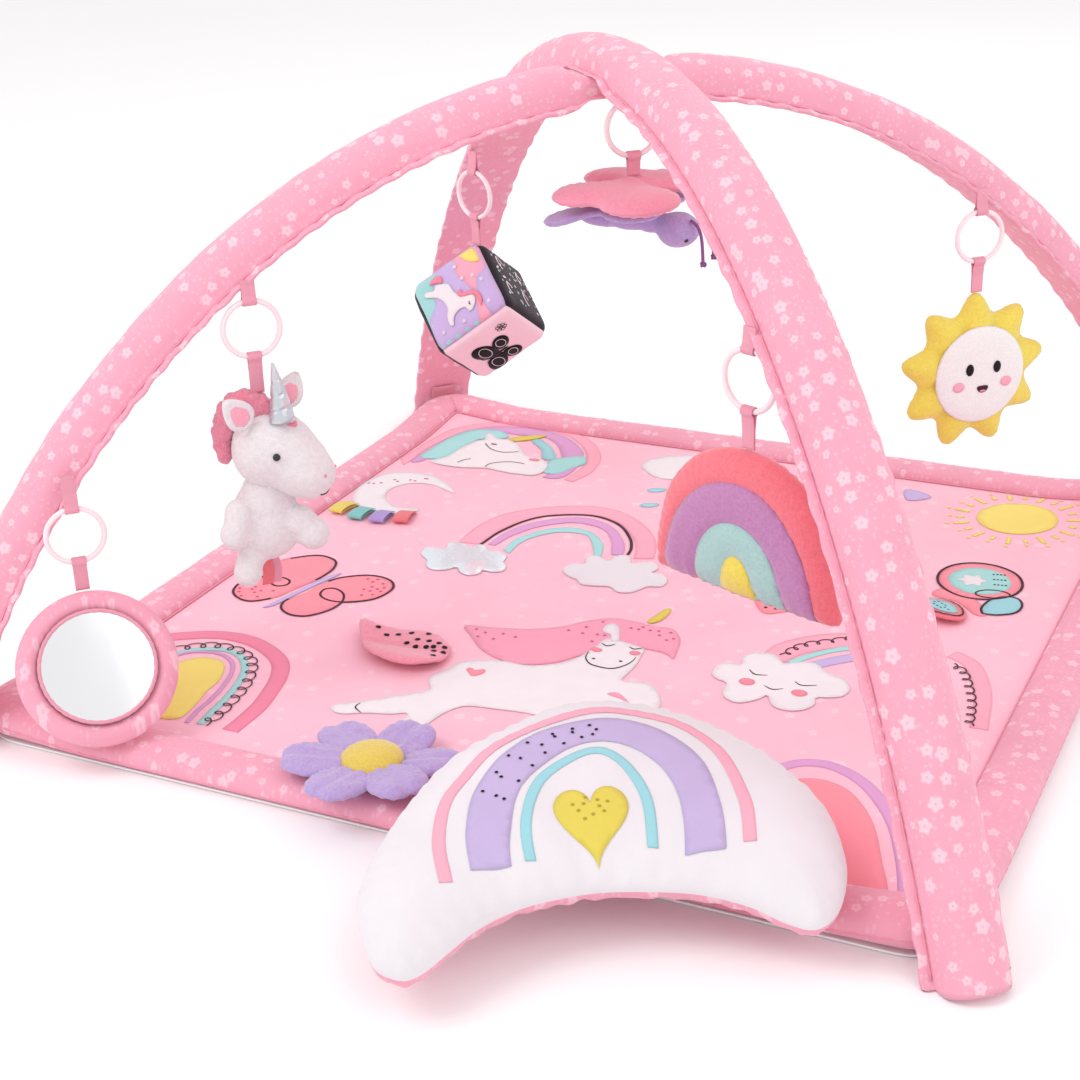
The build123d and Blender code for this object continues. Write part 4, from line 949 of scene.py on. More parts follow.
def border_roll(side):
    """One side of the padded border as a closed roll with mitred ends."""
    H = SIDE / 2
    na, nc = 190, 22
    V, F = [], []
    for i in range(na + 1):
        s = -1 + 2 * i / na
        for j in range(nc):
            th = 2 * math.pi * j / nc
            # c: across, 0 at the outer edge to 1 at the inner seam
            c = 0.5 - 0.5 * math.cos(th)
            up = math.sin(th)
            acr = c * BORDER
            ln = H - acr
            # plan position on the mitred strip
            u = s * ln
            v = -(H - acr)
            # round the outer corners
            d = abs(u) - (H - CORNER)
            if d > 0 and acr < CORNER:
                ang = min(d / max(ln - (H - CORNER), 1e-6), 1.0) * math.pi / 4
                rr = CORNER - acr
                u = math.copysign(H - CORNER + rr * math.sin(ang), u)
                v = -(H - CORNER + rr * math.cos(ang))
            top = 0.0235
            if up >= 0:
                z = 0.0085 + (top - 0.0085) * up ** 0.75 * (1 - 0.0 * c)
                z = z + (0.0135 - 0.0085) * c * (1 - up) if up < 1 else z
            else:
                z = 0.0085 - 0.0058 * (-up) ** 0.8
            q = (u, v)
            p = [(q[0], q[1]), (-q[1], q[0]), (-q[0], -q[1]), (q[1], -q[0])][side]
            w = noise.noise((p[0] * 26, p[1] * 26, 3.1)) * 0.0011 + noise.noise((p[0] * 90, p[1] * 90, 7.7)) * 0.0006
            pk = 0.0007 * math.sin(s * 230 + 2.5 * noise.noise((s * 14, 1.0, side))) * math.exp(-min(c, 1 - c) / 0.25)
            if up > 0:
                z += (w + pk) * up
            z += corner_lift(np.array(p[0]), np.array(p[1])) * (1.0 if up > -0.2 else 0.4)
            V.append((p[0], p[1], max(z, 0.0008)))
    for i in range(na):
        for j in range(nc):
            k = (j + 1) % nc
            F.append((i * nc + j, i * nc + k, (i + 1) * nc + k, (i + 1) * nc + j))
    F.append(tuple(range(nc))[::-1])
    F.append(tuple(na * nc + j for j in range(nc)))
    return np.array(V), [tuple(f) for f in F]


build_mat()


# ---------------------------------------------------------------- printed panel
A = {k: np.array(v, float) / 1000 for k, v in ART.items()}
art = Art("print", mat_surf, "mat", "pink_quilt")
# sleeping pony in a rainbow
art.band("ink_soft", A["r1_pink_o"], A["r1_pink_i"], 0)
art.area("ink_purple", A["r1_purple"], 1)
art.area("ink_aqua", A["r1_teal"], 2)
art.area("ink_teal", A["s_mane"], 2)
art.area("ink_teal", A["s_tail"], 2)
art.area("ink_white", A["s_body"], 3)
art.area("ink_gold", A["s_horn"], 4)
for k in ("s_line1", "s_line2", "s_line3"):
    art.line("ink_grey", A[k], 0.0016, 5)
art.dot("ink_blush", A["s_marks"][0], 0.007, 0.004, 0, 5)
art.dot("ink_grey", A["s_marks"][1], 0.004, 0.002, 0, 5)
# moon
art.area("ink_white", A["moon"], 1)
for q in np.linspace(0.1, 0.9, 9):
    c = A["moon"][1] * (1 - q) + A["moon"][4] * q
    art.dot("ink_rosedot", c + rng.normal(0, 0.004, 2), 0.0018, lift=2, n=8)
# middle rainbow
art.band("ink_soft", A["r2_pink_o"], A["r2_pink_i"], 0)
art.band("ink_purple", A["r2_purple_o"], A["r2_purple_i"], 1)
art.band("ink_teal", A["r2_teal_o"], A["r2_teal_i"], 1)
art.line("ink_dark", A["r2_line"], 0.0032, 2)
# small weather
art.area("ink_white", A["white_cloud"], 1)
for d in A["drops"]:
    art.dot("ink_aqua", d, 0.011, 0.006, 0.5, 1)
# coral butterfly
art.area("ink_coral", A["b_left"], 1)
art.area("ink_coral", A["b_right"], 1)
art.area("ink_lilac", A["b_body"], 2)
for k in ("b_s1", "b_s2", "b_s3"):
    art.line("ink_dark", A[k], 0.0024, 3)
for d in A["b_dots"]:
    art.dot("ink_rosedot", d, 0.0017, lift=3, n=8)
# yellow rainbow
art.line("ink_deep", A["y_pink"], 0.017, 0)
art.area("ink_yellow", A["y_core"], 1)
art.line("ink_purple", A["y_purple"], 0.0045, 1)
art.line("ink_teal", A["y_teal"], 0.0075, 1)
art.loops("ink_dark", A["y_loops"], 0.0013, 0.0058, 15, 3, side=-1)
# leaping pony
art.area("ink_mane", A["mane"], 1)
art.area("ink_white", A["pony"], 2)
art.area("ink_white", A["pony_ear"], 3)
art.area("ink_gold", A["pony_horn"], 3)
art.area("ink_coral", A["pony_heart"], 3, step=0.004)
for k, w in (("pony_eye1", 0.0016), ("pony_eye2", 0.0016), ("pony_smile", 0.0018), ("pony_hoof", 0.0014)):
    art.line("ink_dark", A[k], w, 4, taper=True)
for d in A["pony_cheeks"]:
    art.dot("ink_blush", d, 0.0055, 0.0042, 0, 4)
for d in A["pony_nose"]:
    art.dot("ink_dark", d, 0.0018, 0.0012, 0, 4, n=8)
art.area("ink_mane", A["pony_fold"], 4, step=0.005)
for d in A["mane_dots"]:
    art.dot("ink_rosedot", d, 0.0016, lift=3, n=8)
# coral shape with dots
art.area("ink_coral", A["dot_shape"], 1)
for d in A["dot_shape_dots"]:
    art.dot("ink_dark", d, 0.0018, lift=3, n=8)
# smiling cloud and its rainbow
art.band("ink_soft", A["fc_pink_o"], A["fc_pink_i"], 0)
art.line("ink_teal", A["fc_teal"], 0.008, 1)
art.line("ink_lilac", A["fc_purple"], 0.014, 1)
art.loops("ink_dark", A["fc_loops"], 0.0013, 0.0042, 8, 3, side=-1)
art.area("ink_white", A["face_cloud"], 3)
for k in ("fc_eye1", "fc_eye2", "fc_smile"):
    art.line("ink_dark", A[k], 0.0018, 4, taper=True)
for d in A["fc_cheeks"]:
    art.dot("ink_blush", d, 0.0075, 0.0065, 0, 4)
art.area("ink_lilac", A["feather"], 1, step=0.005)
# sun on the mat
c = A["sun_c"][0]
ax = A["sun_c"][1] - c
ay = A["sun_c"][2] - c


def ell(cc, a, b, k=1.0, n=40):
    t = np.linspace(0, 2 * math.pi, n, endpoint=False)[:, None]
    return cc + k * (np.cos(t) * a + np.sin(t) * b)


art.area("ink_yellow", ell(c, ax, ay), 1, smooth=False)
for i in range(22):
    t = 2 * math.pi * i / 22
    d = math.cos(t) * ax + math.sin(t) * ay
    a0, a1 = (1.22, 1.62) if i % 2 == 0 else (1.30, 1.50)
    art.line("ink_yellow", [c + d * a0, c + d * (a0 + a1) / 2, c + d * a1], 0.0048, 1)
    art.dot("ink_yellow", c + d * (a1 + 0.16), 0.0022, lift=1, n=8)
# butterfly with a loose wing
c = A["w_up"][0]
ax = A["w_up"][1] - c
ay = A["w_up"][2] - c
art.area("ink_coral", ell(c, ax, ay), 1, smooth=False)
art.area("ink_teal", ell(c, ax, ay, 0.76), 2, smooth=False)
blob = [c + 0.30 * (1 + 0.25 * math.cos(6 * t)) * (math.cos(t) * ax + math.sin(t) * ay) - 0.18 * ax for t in np.linspace(0, 2 * math.pi, 30, endpoint=False)]
art.area("ink_white", blob, 3, step=0.005)
art.line("ink_dark", np.vstack([ell(c, ax, ay, 1.03), ell(c, ax, ay, 1.03)[:1]]), 0.0026, 3)
for i in range(12):
    q = c + ax * (0.35 + 0.09 * (i % 4)) + ay * (-0.42 + 0.30 * (i // 4))
    art.dot("ink_dark", q, 0.0013, lift=3, n=8)
art.area("ink_aqua", A["w_low"], 2)
art.line("ink_dark", np.vstack([A["w_low"], A["w_low"][:1]]), 0.0024, 3)
lc = A["w_loop"][0]
art.line("ink_dark", np.vstack([ell(lc, A["w_loop"][1] - lc, A["w_loop"][2] - lc), ell(lc, A["w_loop"][1] - lc, A["w_loop"][2] - lc)[:1]]), 0.0018, 4)
art.area("ink_coral", [A["w_body"][0] + (0.0, 0.008), A["w_body"][1] + (0.004, 0.012), A["w_body"][2] + (0.004, 0.004),
                       A["w_body"][2] - (0.004, 0.006), A["w_body"][1] - (0.004, 0.008), A["w_body"][0] - (0.004, 0.010)], 1)
# scribble on the right
art.line("ink_soft", A["rs_band"], 0.016, 0)
art.loops("ink_dark", A["rs_loops"], 0.0013, 0.0042, 9, 3, side=-1)
# rainbow by the pillow
art.line("ink_purple", A["br_purple"], 0.012, 0)
art.area("ink_coral", A["br_coral"], 1)
art.finish()


# ============================================================ ARCHES
S2 = 2 ** -0.5
FOOT = 0.654
LOWER = [(FOOT, 0), (FOOT - 0.0723, 0.2178), (0.3456, 0.5201), (0, 0.5201)]
UPPER = [(FOOT, 0), (FOOT - 0.0851, 0.2057), (0.3399, 0.5353), (0, 0.5353)]


def arch_path(ctrl, n=260):
    t = np.linspace(0, 1, 400)[:, None]
    P = np.array(ctrl, float)
    h = (1 - t) ** 3 * P[0] + 3 * t * (1 - t) ** 2 * P[1] + 3 * t * t * (1 - t) * P[2] + t ** 3 * P[3]
    full = np.vstack([h * [1, 1], (h[::-1] * [-1, 1])[1:]])
    seg = np.linalg.norm(np.diff(full, axis=0), axis=1)
    s = np.concatenate([[0], np.cumsum(seg)])
    q = np.linspace(0, s[-1], n)
    return np.stack([np.interp(q, s, full[:, k]) for k in (0, 1)], 1), q


def build_arch(name, ctrl, et, body, clamp):
    en = np.array([et[1], -et[0], 0.0])
    path, arc = arch_path(ctrl, 330)
    n = len(path)
    tan = np.gradient(path, axis=0)
    tan /= np.linalg.norm(tan, axis=1)[:, None]
    out = np.stack([tan[:, 1], -tan[:, 0]], 1)
    out[out[:, 1] < -0.2] *= -1
    # outward is away from the middle of the arch
    sgn = np.sign(np.sum(out * (path - [0, 0.1]), axis=1))
    out *= sgn[:, None]
    # section: (across b, outward n), seam flanges either side of a padded dome
    sec = []
    for x, y in ((-0.034, -0.0155), (-0.0355, -0.0135), (-0.0335, -0.0117), (-0.0288, -0.0112)):
        sec.append((x, y))
    for k in range(25):
        a = math.pi * (1 - k / 24)
        sec.append((0.0270 * math.copysign(abs(math.cos(a)) ** 0.85, math.cos(a)), -0.0105 + 0.0305 * max(math.sin(a), 0.0) ** 0.80))
    for x, y in ((0.0288, -0.0112), (0.0335, -0.0117), (0.0355, -0.0135), (0.034, -0.0155)):
        sec.append((x, y))
    for x in np.linspace(0.026, -0.026, 9):
        sec.append((x, -0.0160))
    sec = np.array(sec)
    m = len(sec)
    per = np.concatenate([[0], np.cumsum(np.linalg.norm(np.diff(sec, axis=0), axis=1))])
    V, UV = [], []
    for i in range(n):
        p = path[i]
        s = arc[i]
        for j in range(m):
            b, o = sec[j]
            dome = max(0.0, 1 - abs(b) / 0.034) if o > -0.0115 else 0.0
            # soft dents of the padding, and gathers where it meets the flanges
            w = 0.0012 * noise.noise((s * 14, b * 40, 1.3 if name == "lower" else 6.1)) \
                + 0.0007 * noise.noise((s * 60, b * 60, 4.0))
            gather = 0.0010 * math.sin(s * 520 + 3.0 * noise.noise((s * 40, 2.0 * np.sign(b), 0.5)))
            edge = math.exp(-((abs(b) - 0.024) / 0.006) ** 2)
            oo = o + (w * (0.4 + dome) + gather * edge * 0.8) if o > -0.0152 else o + 0.0004 * noise.noise((s * 50, b * 60, 9))
            bb = b
            if abs(b) > 0.028:
                bb = b + 0.0007 * math.sin(s * 180 + (0 if b > 0 else 1.3)) + 0.0006 * noise.noise((s * 35, 7.0, np.sign(b)))
                oo = oo + 0.0007 * math.sin(s * 240 + (1 if b > 0 else 0.0))
            x2 = p[0] + out[i, 0] * oo
            z2 = p[1] + out[i, 1] * oo
            x3 = np.array([et[0] * x2 + en[0] * bb, et[1] * x2 + en[1] * bb, z2])
            x3[2] = clamp(x3, x2, bb)
            x3[2] = max(x3[2], 0.0006)
            V.append(x3)
            UV.append((s, per[j]))
    F = []
    for i in range(n - 1):
        for j in range(m):
            k = (j + 1) % m
            F.append((i * m + j, (i + 1) * m + j, (i + 1) * m + k, i * m + k))
    # per-loop texture coordinates, so that the section's last strip doesn't run backwards
    uv = []
    for i in range(n - 1):
        for j in range(m):
            a, b = per[j], per[j + 1] if j + 1 < m else per[-1] + 0.006
            uv += [(arc[i], a), (arc[i + 1], a), (arc[i + 1], b), (arc[i], b)]
    nv = len(V)
    for end, i in ((0, 0), (1, n - 1)):
        f = tuple(i * m + j for j in range(m))
        F.append(f if end == 0 else f[::-1])
        uv += [(arc[i], per[j]) for j in (range(m) if end == 0 else range(m - 1, -1, -1))]
    ob = add_mesh(name + "_sleeve", V, F, [M["floral_uv"]], uvs=np.array(uv))
    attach(ob, body)
    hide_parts(name + "_arch_sleeve", *([name + "_leg_pads"]))
    # stitched seam lines along both sides of the dome
    for sd in (-1, 1):
        V, F = [], []
        for i in range(2, n - 2):
            p = path[i]
            s = arc[i]
            for k in range(6):
                a = 2 * math.pi * k / 6
                bb = sd * 0.0286 + 0.0009 * math.cos(a)
                oo = -0.0108 + 0.0009 * math.sin(a) + 0.0004 * math.sin(s * 520)
                x2 = p[0] + out[i, 0] * oo
                z2 = p[1] + out[i, 1] * oo
                x3 = np.array([et[0] * x2 + en[0] * bb, et[1] * x2 + en[1] * bb, z2])
                x3[2] = max(clamp(x3, x2, bb), 0.001)
                V.append(x3)
        c = len(V) // 6
        for i in range(c - 1):
            for k in range(6):
                l = (k + 1) % 6
                F.append((i * 6 + k, (i + 1) * 6 + k, (i + 1) * 6 + l, i * 6 + l))
        F.append(tuple(range(6)))
        F.append(tuple((c - 1) * 6 + k for k in range(6))[::-1])
        ob2 = add_mesh(name + "_seam_" + ("left" if sd < 0 else "right"), V, F, [M["seam"]])
        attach(ob2, body)


def clamp_lower(p, x2, b):
    """Pressed flat under the other arch where they cross."""
    d = max(abs(x2), 0.0)
    w = float(smooth01(1 - (d - 0.036) / 0.042))
    z = p[2]
    top = 0.5290 + 0.022 * (1 - w)
    low = 0.5125 - 0.030 * (1 - w)
    if w > 0:
        k = 0.0016
        e = (z - top) / k
        if e > -6:
            z = top - 0.0004 - k * math.log1p(math.exp(min(-e, 40.0))) if e < 30 else top - 0.0004
        if z < low:
            z = low + 0.12 * (z - low)
    return z


def clamp_upper(p, x2, b):
    d = max(abs(x2), 0.0)
    w = float(smooth01(1 - (d - 0.036) / 0.042))
    z = p[2]
    low = 0.5302 - 0.030 * (1 - w)
    if w > 0 and z < low:
        z = low + 0.12 * (z - low)
    return z


build_arch("lower", LOWER, (S2, S2), "lower_arch", clamp_lower)
build_arch("upper", UPPER, (S2, -S2), "upper_arch", clamp_upper)

for nm in ("lower_arch_poles", "upper_arch_poles", "lower_arch_spigots", "upper_arch_spigots"):
    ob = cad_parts[nm]
    ob.data.materials.clear()
    ob.data.materials.append(plastic("rod_" + nm, "EDEBE6", 0.4))
for nm in ("lower_arch_foot_plugs", "upper_arch_foot_plugs"):
    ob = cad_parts[nm]
    ob.data.materials.clear()
    ob.data.materials.append(plastic("plug_" + nm, "F5F3F2", 0.5))
for nm in ("corner_straps",):
    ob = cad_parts[nm]
    ob.data.materials.clear()
    ob.data.materials.append(M["ribbon"])


# ============================================================ HANGERS
LAZ, UAZ = math.radians(-45), math.radians(-110)
TOYS = {
    "mirror": ((-0.3395, -0.3946, 0.1890), LAZ, 0.027),
    "unicorn": ((-0.2237, -0.2718, 0.3486), LAZ, 0.033),
    "butterfly": ((0.0240, -0.0240, 0.4840), LAZ, 0.018),
    "sun": ((0.2753, 0.2273, 0.3445), LAZ, 0.031),
    "cube": ((-0.2620, 0.2140, 0.3480), UAZ, 0.030),
    "rainbow": ((0.2215, -0.2695, 0.3546), UAZ, 0.031),
}
RR, TUBE = 0.0245, 0.0025


def axes(az):
    n = np.array([math.cos(az), math.sin(az), 0.0])
    t = np.array([-n[1], n[0], 0.0])
    return n, t


def ring_mesh(name, c, az):
    n, t = axes(az)
    up = np.array([0, 0, 1.0])
    V, F, UV = [], [], []
    na, nb = 96, 16
    for i in range(na):
        a = 2 * math.pi * i / na
        d = t * math.cos(a) + up * math.sin(a)
        for k in range(nb):
            b = 2 * math.pi * k / nb
            # slightly flattened moulding with a faint parting line
            rr = TUBE * (1.0 - 0.03 * math.cos(2 * b)) + (0.00012 if k in (0, nb // 2) else 0)
            V.append(np.array(c) + d * (RR + rr * math.cos(b) * 0.97) + n * rr * math.sin(b))
    for i in range(na):
        j = (i + 1) % na
        for k in range(nb):
            l = (k + 1) % nb
            F.append((i * nb + k, j * nb + k, j * nb + l, i * nb + l))
    ob = add_mesh("hoop_" + name, V, F, [M["ring"]])
    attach(ob, name + "_ring_body")
    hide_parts(name + "_ring")


def strip(name, pts, width_dir, width, thick, mat, ripple=0.0):
    """A flat folded ribbon along pts, closed, with its edges a little rounded."""
    P = np.asarray(pts, float)
    wd = np.asarray(width_dir, float)
    t = np.gradient(P, axis=0)
    t /= np.linalg.norm(t, axis=1)[:, None]
    nn = np.cross(t, wd)
    nn /= np.linalg.norm(nn, axis=1)[:, None]
    V, F = [], []
    cols = [(-0.5, 0.25), (-0.46, 0.5), (-0.15, 0.5), (0.15, 0.5), (0.46, 0.5), (0.5, 0.25),
            (0.5, -0.25), (0.46, -0.5), (0.15, -0.5), (-0.15, -0.5), (-0.46, -0.5), (-0.5, -0.25)]
    m = len(cols)
    for i in range(len(P)):
        for a, b in cols:
            V.append(P[i] + wd * width * a + nn[i] * (thick * b + ripple * math.sin(i * 0.7 + a * 3)))
    for i in range(len(P) - 1):
        for k in range(m):
            l = (k + 1) % m
            F.append((i * m + k, i * m + l, (i + 1) * m + l, (i + 1) * m + k))
    F.append(tuple(range(m))[::-1])
    F.append(tuple((len(P) - 1) * m + k for k in range(m)))
    return add_mesh(name, V, F, [mat])


def loop_ribbon(name, top, n, body, ring_pt, end_pt, width, mat, replaces=()):
    """Ribbon doubled round the ring's tube at ring_pt; its two tails meet at end_pt.
    width lies along the ring's plane direction; the loop lies in the plane across it."""
    d = np.asarray(end_pt, float) - np.asarray(ring_pt, float)
    L = np.linalg.norm(d)
    d = d / L
    side = n
    r = 0.0040
    pts = []
    for s in np.linspace(L, 0.010, 12):
        k = min(1.0, (L - s) / 0.012)
        off = 0.0006 + (r - 0.0006) * smooth01(1 - (s - 0.0) / 0.014) if s < 0.014 else 0.0006
        pts.append(np.asarray(ring_pt) + d * s + side * off)
    # round the tube
    for a in np.linspace(math.radians(25), math.radians(335), 22):
        pts.append(np.asarray(ring_pt) + d * (r * math.cos(a)) + side * (r * math.sin(a)))
    for s in np.linspace(0.010, L, 12):
        off = 0.0006 + (r - 0.0006) * smooth01(1 - s / 0.014) if s < 0.014 else 0.0006
        pts.append(np.asarray(ring_pt) + d * s - side * off)
    pts = resample(np.array(pts), 0.0022, closed=False)
    wd = np.cross(d, side)
    wd /= np.linalg.norm(wd)
    ob = strip(name, pts, wd, width, 0.0009, mat)
    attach(ob, body)
    if replaces:
        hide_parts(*replaces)
    return ob


TAB_REACH = {"mirror": 0.030, "unicorn": 0.018, "butterfly": 0.012, "sun": 0.022, "cube": 0.022, "rainbow": 0.018}
for name, (c, az, ln) in TOYS.items():
    n, t = axes(az)
    ring_mesh(name, c, az)
    top = np.array(c) + (0, 0, RR)
    low = np.array(c) - (0, 0, RR)
    hang = low - (0, 0, ln)
    body = "lower_arch" if az == LAZ else "upper_arch"
    lo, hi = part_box("lower_arch_tabs" if az == LAZ else "upper_arch_tabs")
    reach = TAB_REACH[name]
    tab = loop_ribbon("tab_" + name, None, n, body, top, top + np.array([0, 0, reach]), 0.012, M["ribbon"])
    rib = loop_ribbon("ribbon_" + name, None, n, name + "_ribbon_body", low, hang + (0, 0, 0.0005), 0.012, M["ribbon"],
                      (name + "_ribbon",))
HIDE_TABS = {"lower": "tab_mirror", "upper": "tab_cube"}
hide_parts("lower_arch_tabs")
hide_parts("upper_arch_tabs")


# ============================================================ SEWN-ON PIECES OF THE MAT
def on_mat(z0):
    return lambda p: np.c_[p[:, :2], p[:, 2] + z0 + mat_height(p[:, :2]) - PANEL]


for nm, key, mat in (("cloud_left", "cloud_a", "silver"), ("cloud_right", "cloud_b", "white_cotton")):
    o = catmull(A[key], 5)
    pf = Puff(o, 0.0042, 0.0002, 0.012, pucker=0.0006, pucker_len=0.009, reach=0.006, soft=0.0006, seed=2.0,
              place=on_mat(PANEL + 0.0006))
    ob = pf.build(nm, [M[mat]], step=0.005)
    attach(ob, "mat")
    if nm == "cloud_left":
        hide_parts("cloud_patches")

for i, ((x, y), mat) in enumerate(zip(((-0.377, 0.091), (-0.352, 0.084), (-0.328, 0.084), (-0.306, 0.092)),
                                      ("gold_ribbon", "teal_ribbon", "lilac_ribbon", "coral_ribbon"))):
    pts = []
    d = np.array([-0.10 + 0.10 * i, -1.0])
    d /= np.linalg.norm(d)
    root = np.array([x, y + 0.017])
    for s in np.linspace(0, 0.032, 10):
        pts.append((*(root + d * s), PANEL + 0.0012 + 0.0030 * math.sin(s / 0.032 * 2.4)))
    tip = root + d * 0.0335
    pts.append((*tip, PANEL + 0.0040))
    for s in np.linspace(0.032, 0, 10):
        pts.append((*(root + d * s), PANEL + 0.0032 + 0.0042 * math.sin(s / 0.032 * 2.4)))
    ob = strip("tag_" + str(i + 1), resample(np.array(pts), 0.003, closed=False), (d[1] * -1, d[0], 0), 0.0175, 0.0007, M[mat])
    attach(ob, "mat")
    if i == 0:
        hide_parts("moon_tags")

# plush flower over the front border
FC = np.array([-0.057, -0.399])
for i in range(6):
    a = math.radians(25 + 60 * i)
    o = []
    for t in np.linspace(-math.pi, math.pi, 60, endpoint=False):
        r = 0.0275 * (1 + 0.10 * math.cos(2 * t)) * (1 - 0.10 * math.exp(-(t / 0.22) ** 2))
        o.append((0.047 + r * math.cos(t), 1.02 * r * math.sin(t)))
    o = np.array(o)
    ca, sa = math.cos(a), math.sin(a)

    def fold(uv, side, ca=ca, sa=sa):
        u = uv[:, 0] - 0.0
        v = uv[:, 1]
        return 0.0028 * np.exp(-(v / 0.0045) ** 2) + 0.002 * np.exp(-((np.abs(v) - 0.013) / 0.004) ** 2) * (u < 0.05)

    def place(p, ca=ca, sa=sa):
        x = FC[0] + p[:, 0] * ca - p[:, 1] * sa
        y = FC[1] + p[:, 0] * sa + p[:, 1] * ca
        # petals behind the border's inner seam sink to the panel
        z = p[:, 2] + 0.0305 + 0.0008 * i - 0.006 * smooth01((y + 0.402) / 0.045) + 0.004 * smooth01((p[:, 0] - 0.03) / 0.04)
        return np.c_[x, y, z]

    pf = Puff(o, 0.0078, 0.0050, 0.012, pucker=0.0016, pucker_len=0.011, reach=0.012, soft=0.0012, seed=i + 0.5,
              place=place, valley=fold)
    ob = pf.build("petal_" + str(i + 1), [M["lavender_velour"]], step=0.0035)
    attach(ob, "mat")
    if i == 0:
        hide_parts("flower_petals")
o = [(0.0268 * math.cos(t), 0.0268 * math.sin(t)) for t in np.linspace(0, 2 * math.pi, 80, endpoint=False)]
pf = Puff(o, 0.0125, 0.004, 0.020, pucker=0.0007, pucker_len=0.006, reach=0.006, soft=0.0005, seed=9.0,
          place=plane_place((FC[0], FC[1], 0.0345), (1, 0, 0), (0, 1, 0)))
ob = pf.build("flower_middle", [M["gold_velour"]], step=0.0035)
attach(ob, "mat")
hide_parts("flower_center")

# loose tail
tc = A["tail_edge"].mean(0)
o = catmull(tc + (A["tail_edge"] - tc) * 0.94, 5)


def tail_shape(p):
    u = (p[:, 0] - tc[0]) / 0.058
    v = (p[:, 1] - tc[1]) / 0.038
    lift = 0.007 * smooth01((-v - 0.1) / 0.9) + 0.005 * smooth01((-u - 0.3) / 0.7)
    return np.c_[p[:, :2], p[:, 2] + lift]


tail = Puff(o, 0.0040, 0.0030, 0.010, pucker=0.0008, pucker_len=0.012, reach=0.010, soft=0.001, seed=4.0, shape=tail_shape,
            place=lambda p: np.c_[p[:, :2], p[:, 2] + 0.0184],
            valley=lambda uv, s: 0.0016 * np.exp(-(((uv[:, 1] - tc[1]) + 0.006 - 0.15 * (uv[:, 0] - tc[0])) / 0.004) ** 2))
ob = tail.build("tail_loose", [M["rose_velour"]], step=0.004)
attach(ob, "tail_flap_body")
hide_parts("tail_flap")
ta = Art("tail_print", lambda P, l: tail.world(P, tail.height(P, 1) + 0.0003 + 0.0003 * l), "tail_flap_body", "pink_velour")
for d in A["tail_dots"]:
    q = tc + (d - tc) * 0.90
    ta.dot("ink_plain_black", q, 0.0027, lift=1, n=12)
ta.finish()

# loose wing
wc = A["w_flap"].mean(0)
wd = np.array([0.82, -0.575])
wd /= np.linalg.norm(wd)
wn = np.array([-0.575, -0.82])
wn /= np.linalg.norm(wn)
hinge = np.array([0.3085, 0.0955])
pts = []
for t in np.linspace(0, 2 * math.pi, 50, endpoint=False):
    a, b = 0.0275 * math.cos(t), 0.0225 * math.sin(t)
    pts.append(hinge + wd * a * (1 + 0.10 * math.sin(t)) + wn * (0.0235 + b))
pts = np.array(pts)


def wing_shape(p):
    dd = (p[:, :2] - hinge) @ wn
    return np.c_[p[:, :2], p[:, 2] + 0.006 * smooth01((dd - 0.012) / 0.034)]


wing = Puff(pts, 0.0036, 0.0028, 0.009, pucker=0.0006, pucker_len=0.010, reach=0.008, soft=0.0006, seed=5.0, shape=wing_shape,
            place=lambda p: np.c_[p[:, :2], p[:, 2] + 0.0180])
ob = wing.build("wing_loose", [M["coral_velour"]], step=0.004)
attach(ob, "wing_flap_body")
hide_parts("wing_flap")
wa = Art("wing_print", lambda P, l: wing.world(P, wing.height(P, 1) + 0.0003 + 0.0003 * l), "wing_flap_body", "coral_velour")
wm = hinge + wn * 0.024
wa.area("ink_aqua", [wm + wd * 0.018 * math.cos(t) + wn * 0.013 * math.sin(t) for t in np.linspace(0, 6.283, 30, endpoint=False)], 1, step=0.004)
for k in range(9):
    wa.dot("ink_plain_black", wm + wd * (-0.010 + 0.005 * (k % 5)) + wn * (-0.005 + 0.005 * (k // 3)), 0.0011, lift=2, n=8)
L = [wm + wd * 0.0235 * math.cos(t) + wn * 0.0185 * math.sin(t) for t in np.linspace(0, 6.283, 60)]
wa.line("ink_dark", L, 0.0016, 2, smooth=False)
wa.finish()


# ============================================================ MIRROR TOY
def hang_of(name):
    c, az, ln = TOYS[name]
    return np.array(c) - (0, 0, RR + ln), az


mp, az = hang_of("mirror")
n, t = axes(az)
mt = math.radians(37.0)
mdn = n * math.sin(mt) + np.array([0, 0, -math.cos(mt)])
mfc = n * math.cos(mt) + np.array([0, 0, math.sin(mt)])
mctr = mp + mdn * (0.069 + 0.0008)


def circ(r, k=110):
    return [(r * math.cos(a), r * math.sin(a)) for a in np.linspace(0, 2 * math.pi, k, endpoint=False)]


mplace = plane_place(mctr, t, -mdn)
pf = Puff(circ(0.0685), 0.0098, 0.0092, 0.0105, holes=[circ(0.0482)], pucker=0.0007, pucker_len=0.0085, reach=0.006,
          soft=0.0008, seed=1.1, place=mplace)
ob = pf.build("mirror_pad", [M["floral"]], step=0.004)
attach(ob, "mirror_toy")
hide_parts("mirror_frame")
pf = Puff(circ(0.0500), 0.0020, 0.0075, 0.016, pucker=0.0006, pucker_len=0.01, reach=0.008, soft=0.0008, seed=1.9,
          place=lambda p: mplace(p - np.array([0, 0, 0.0005])))
ob = pf.build("mirror_back", [M["floral"]], step=0.005)
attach(ob, "mirror_toy")
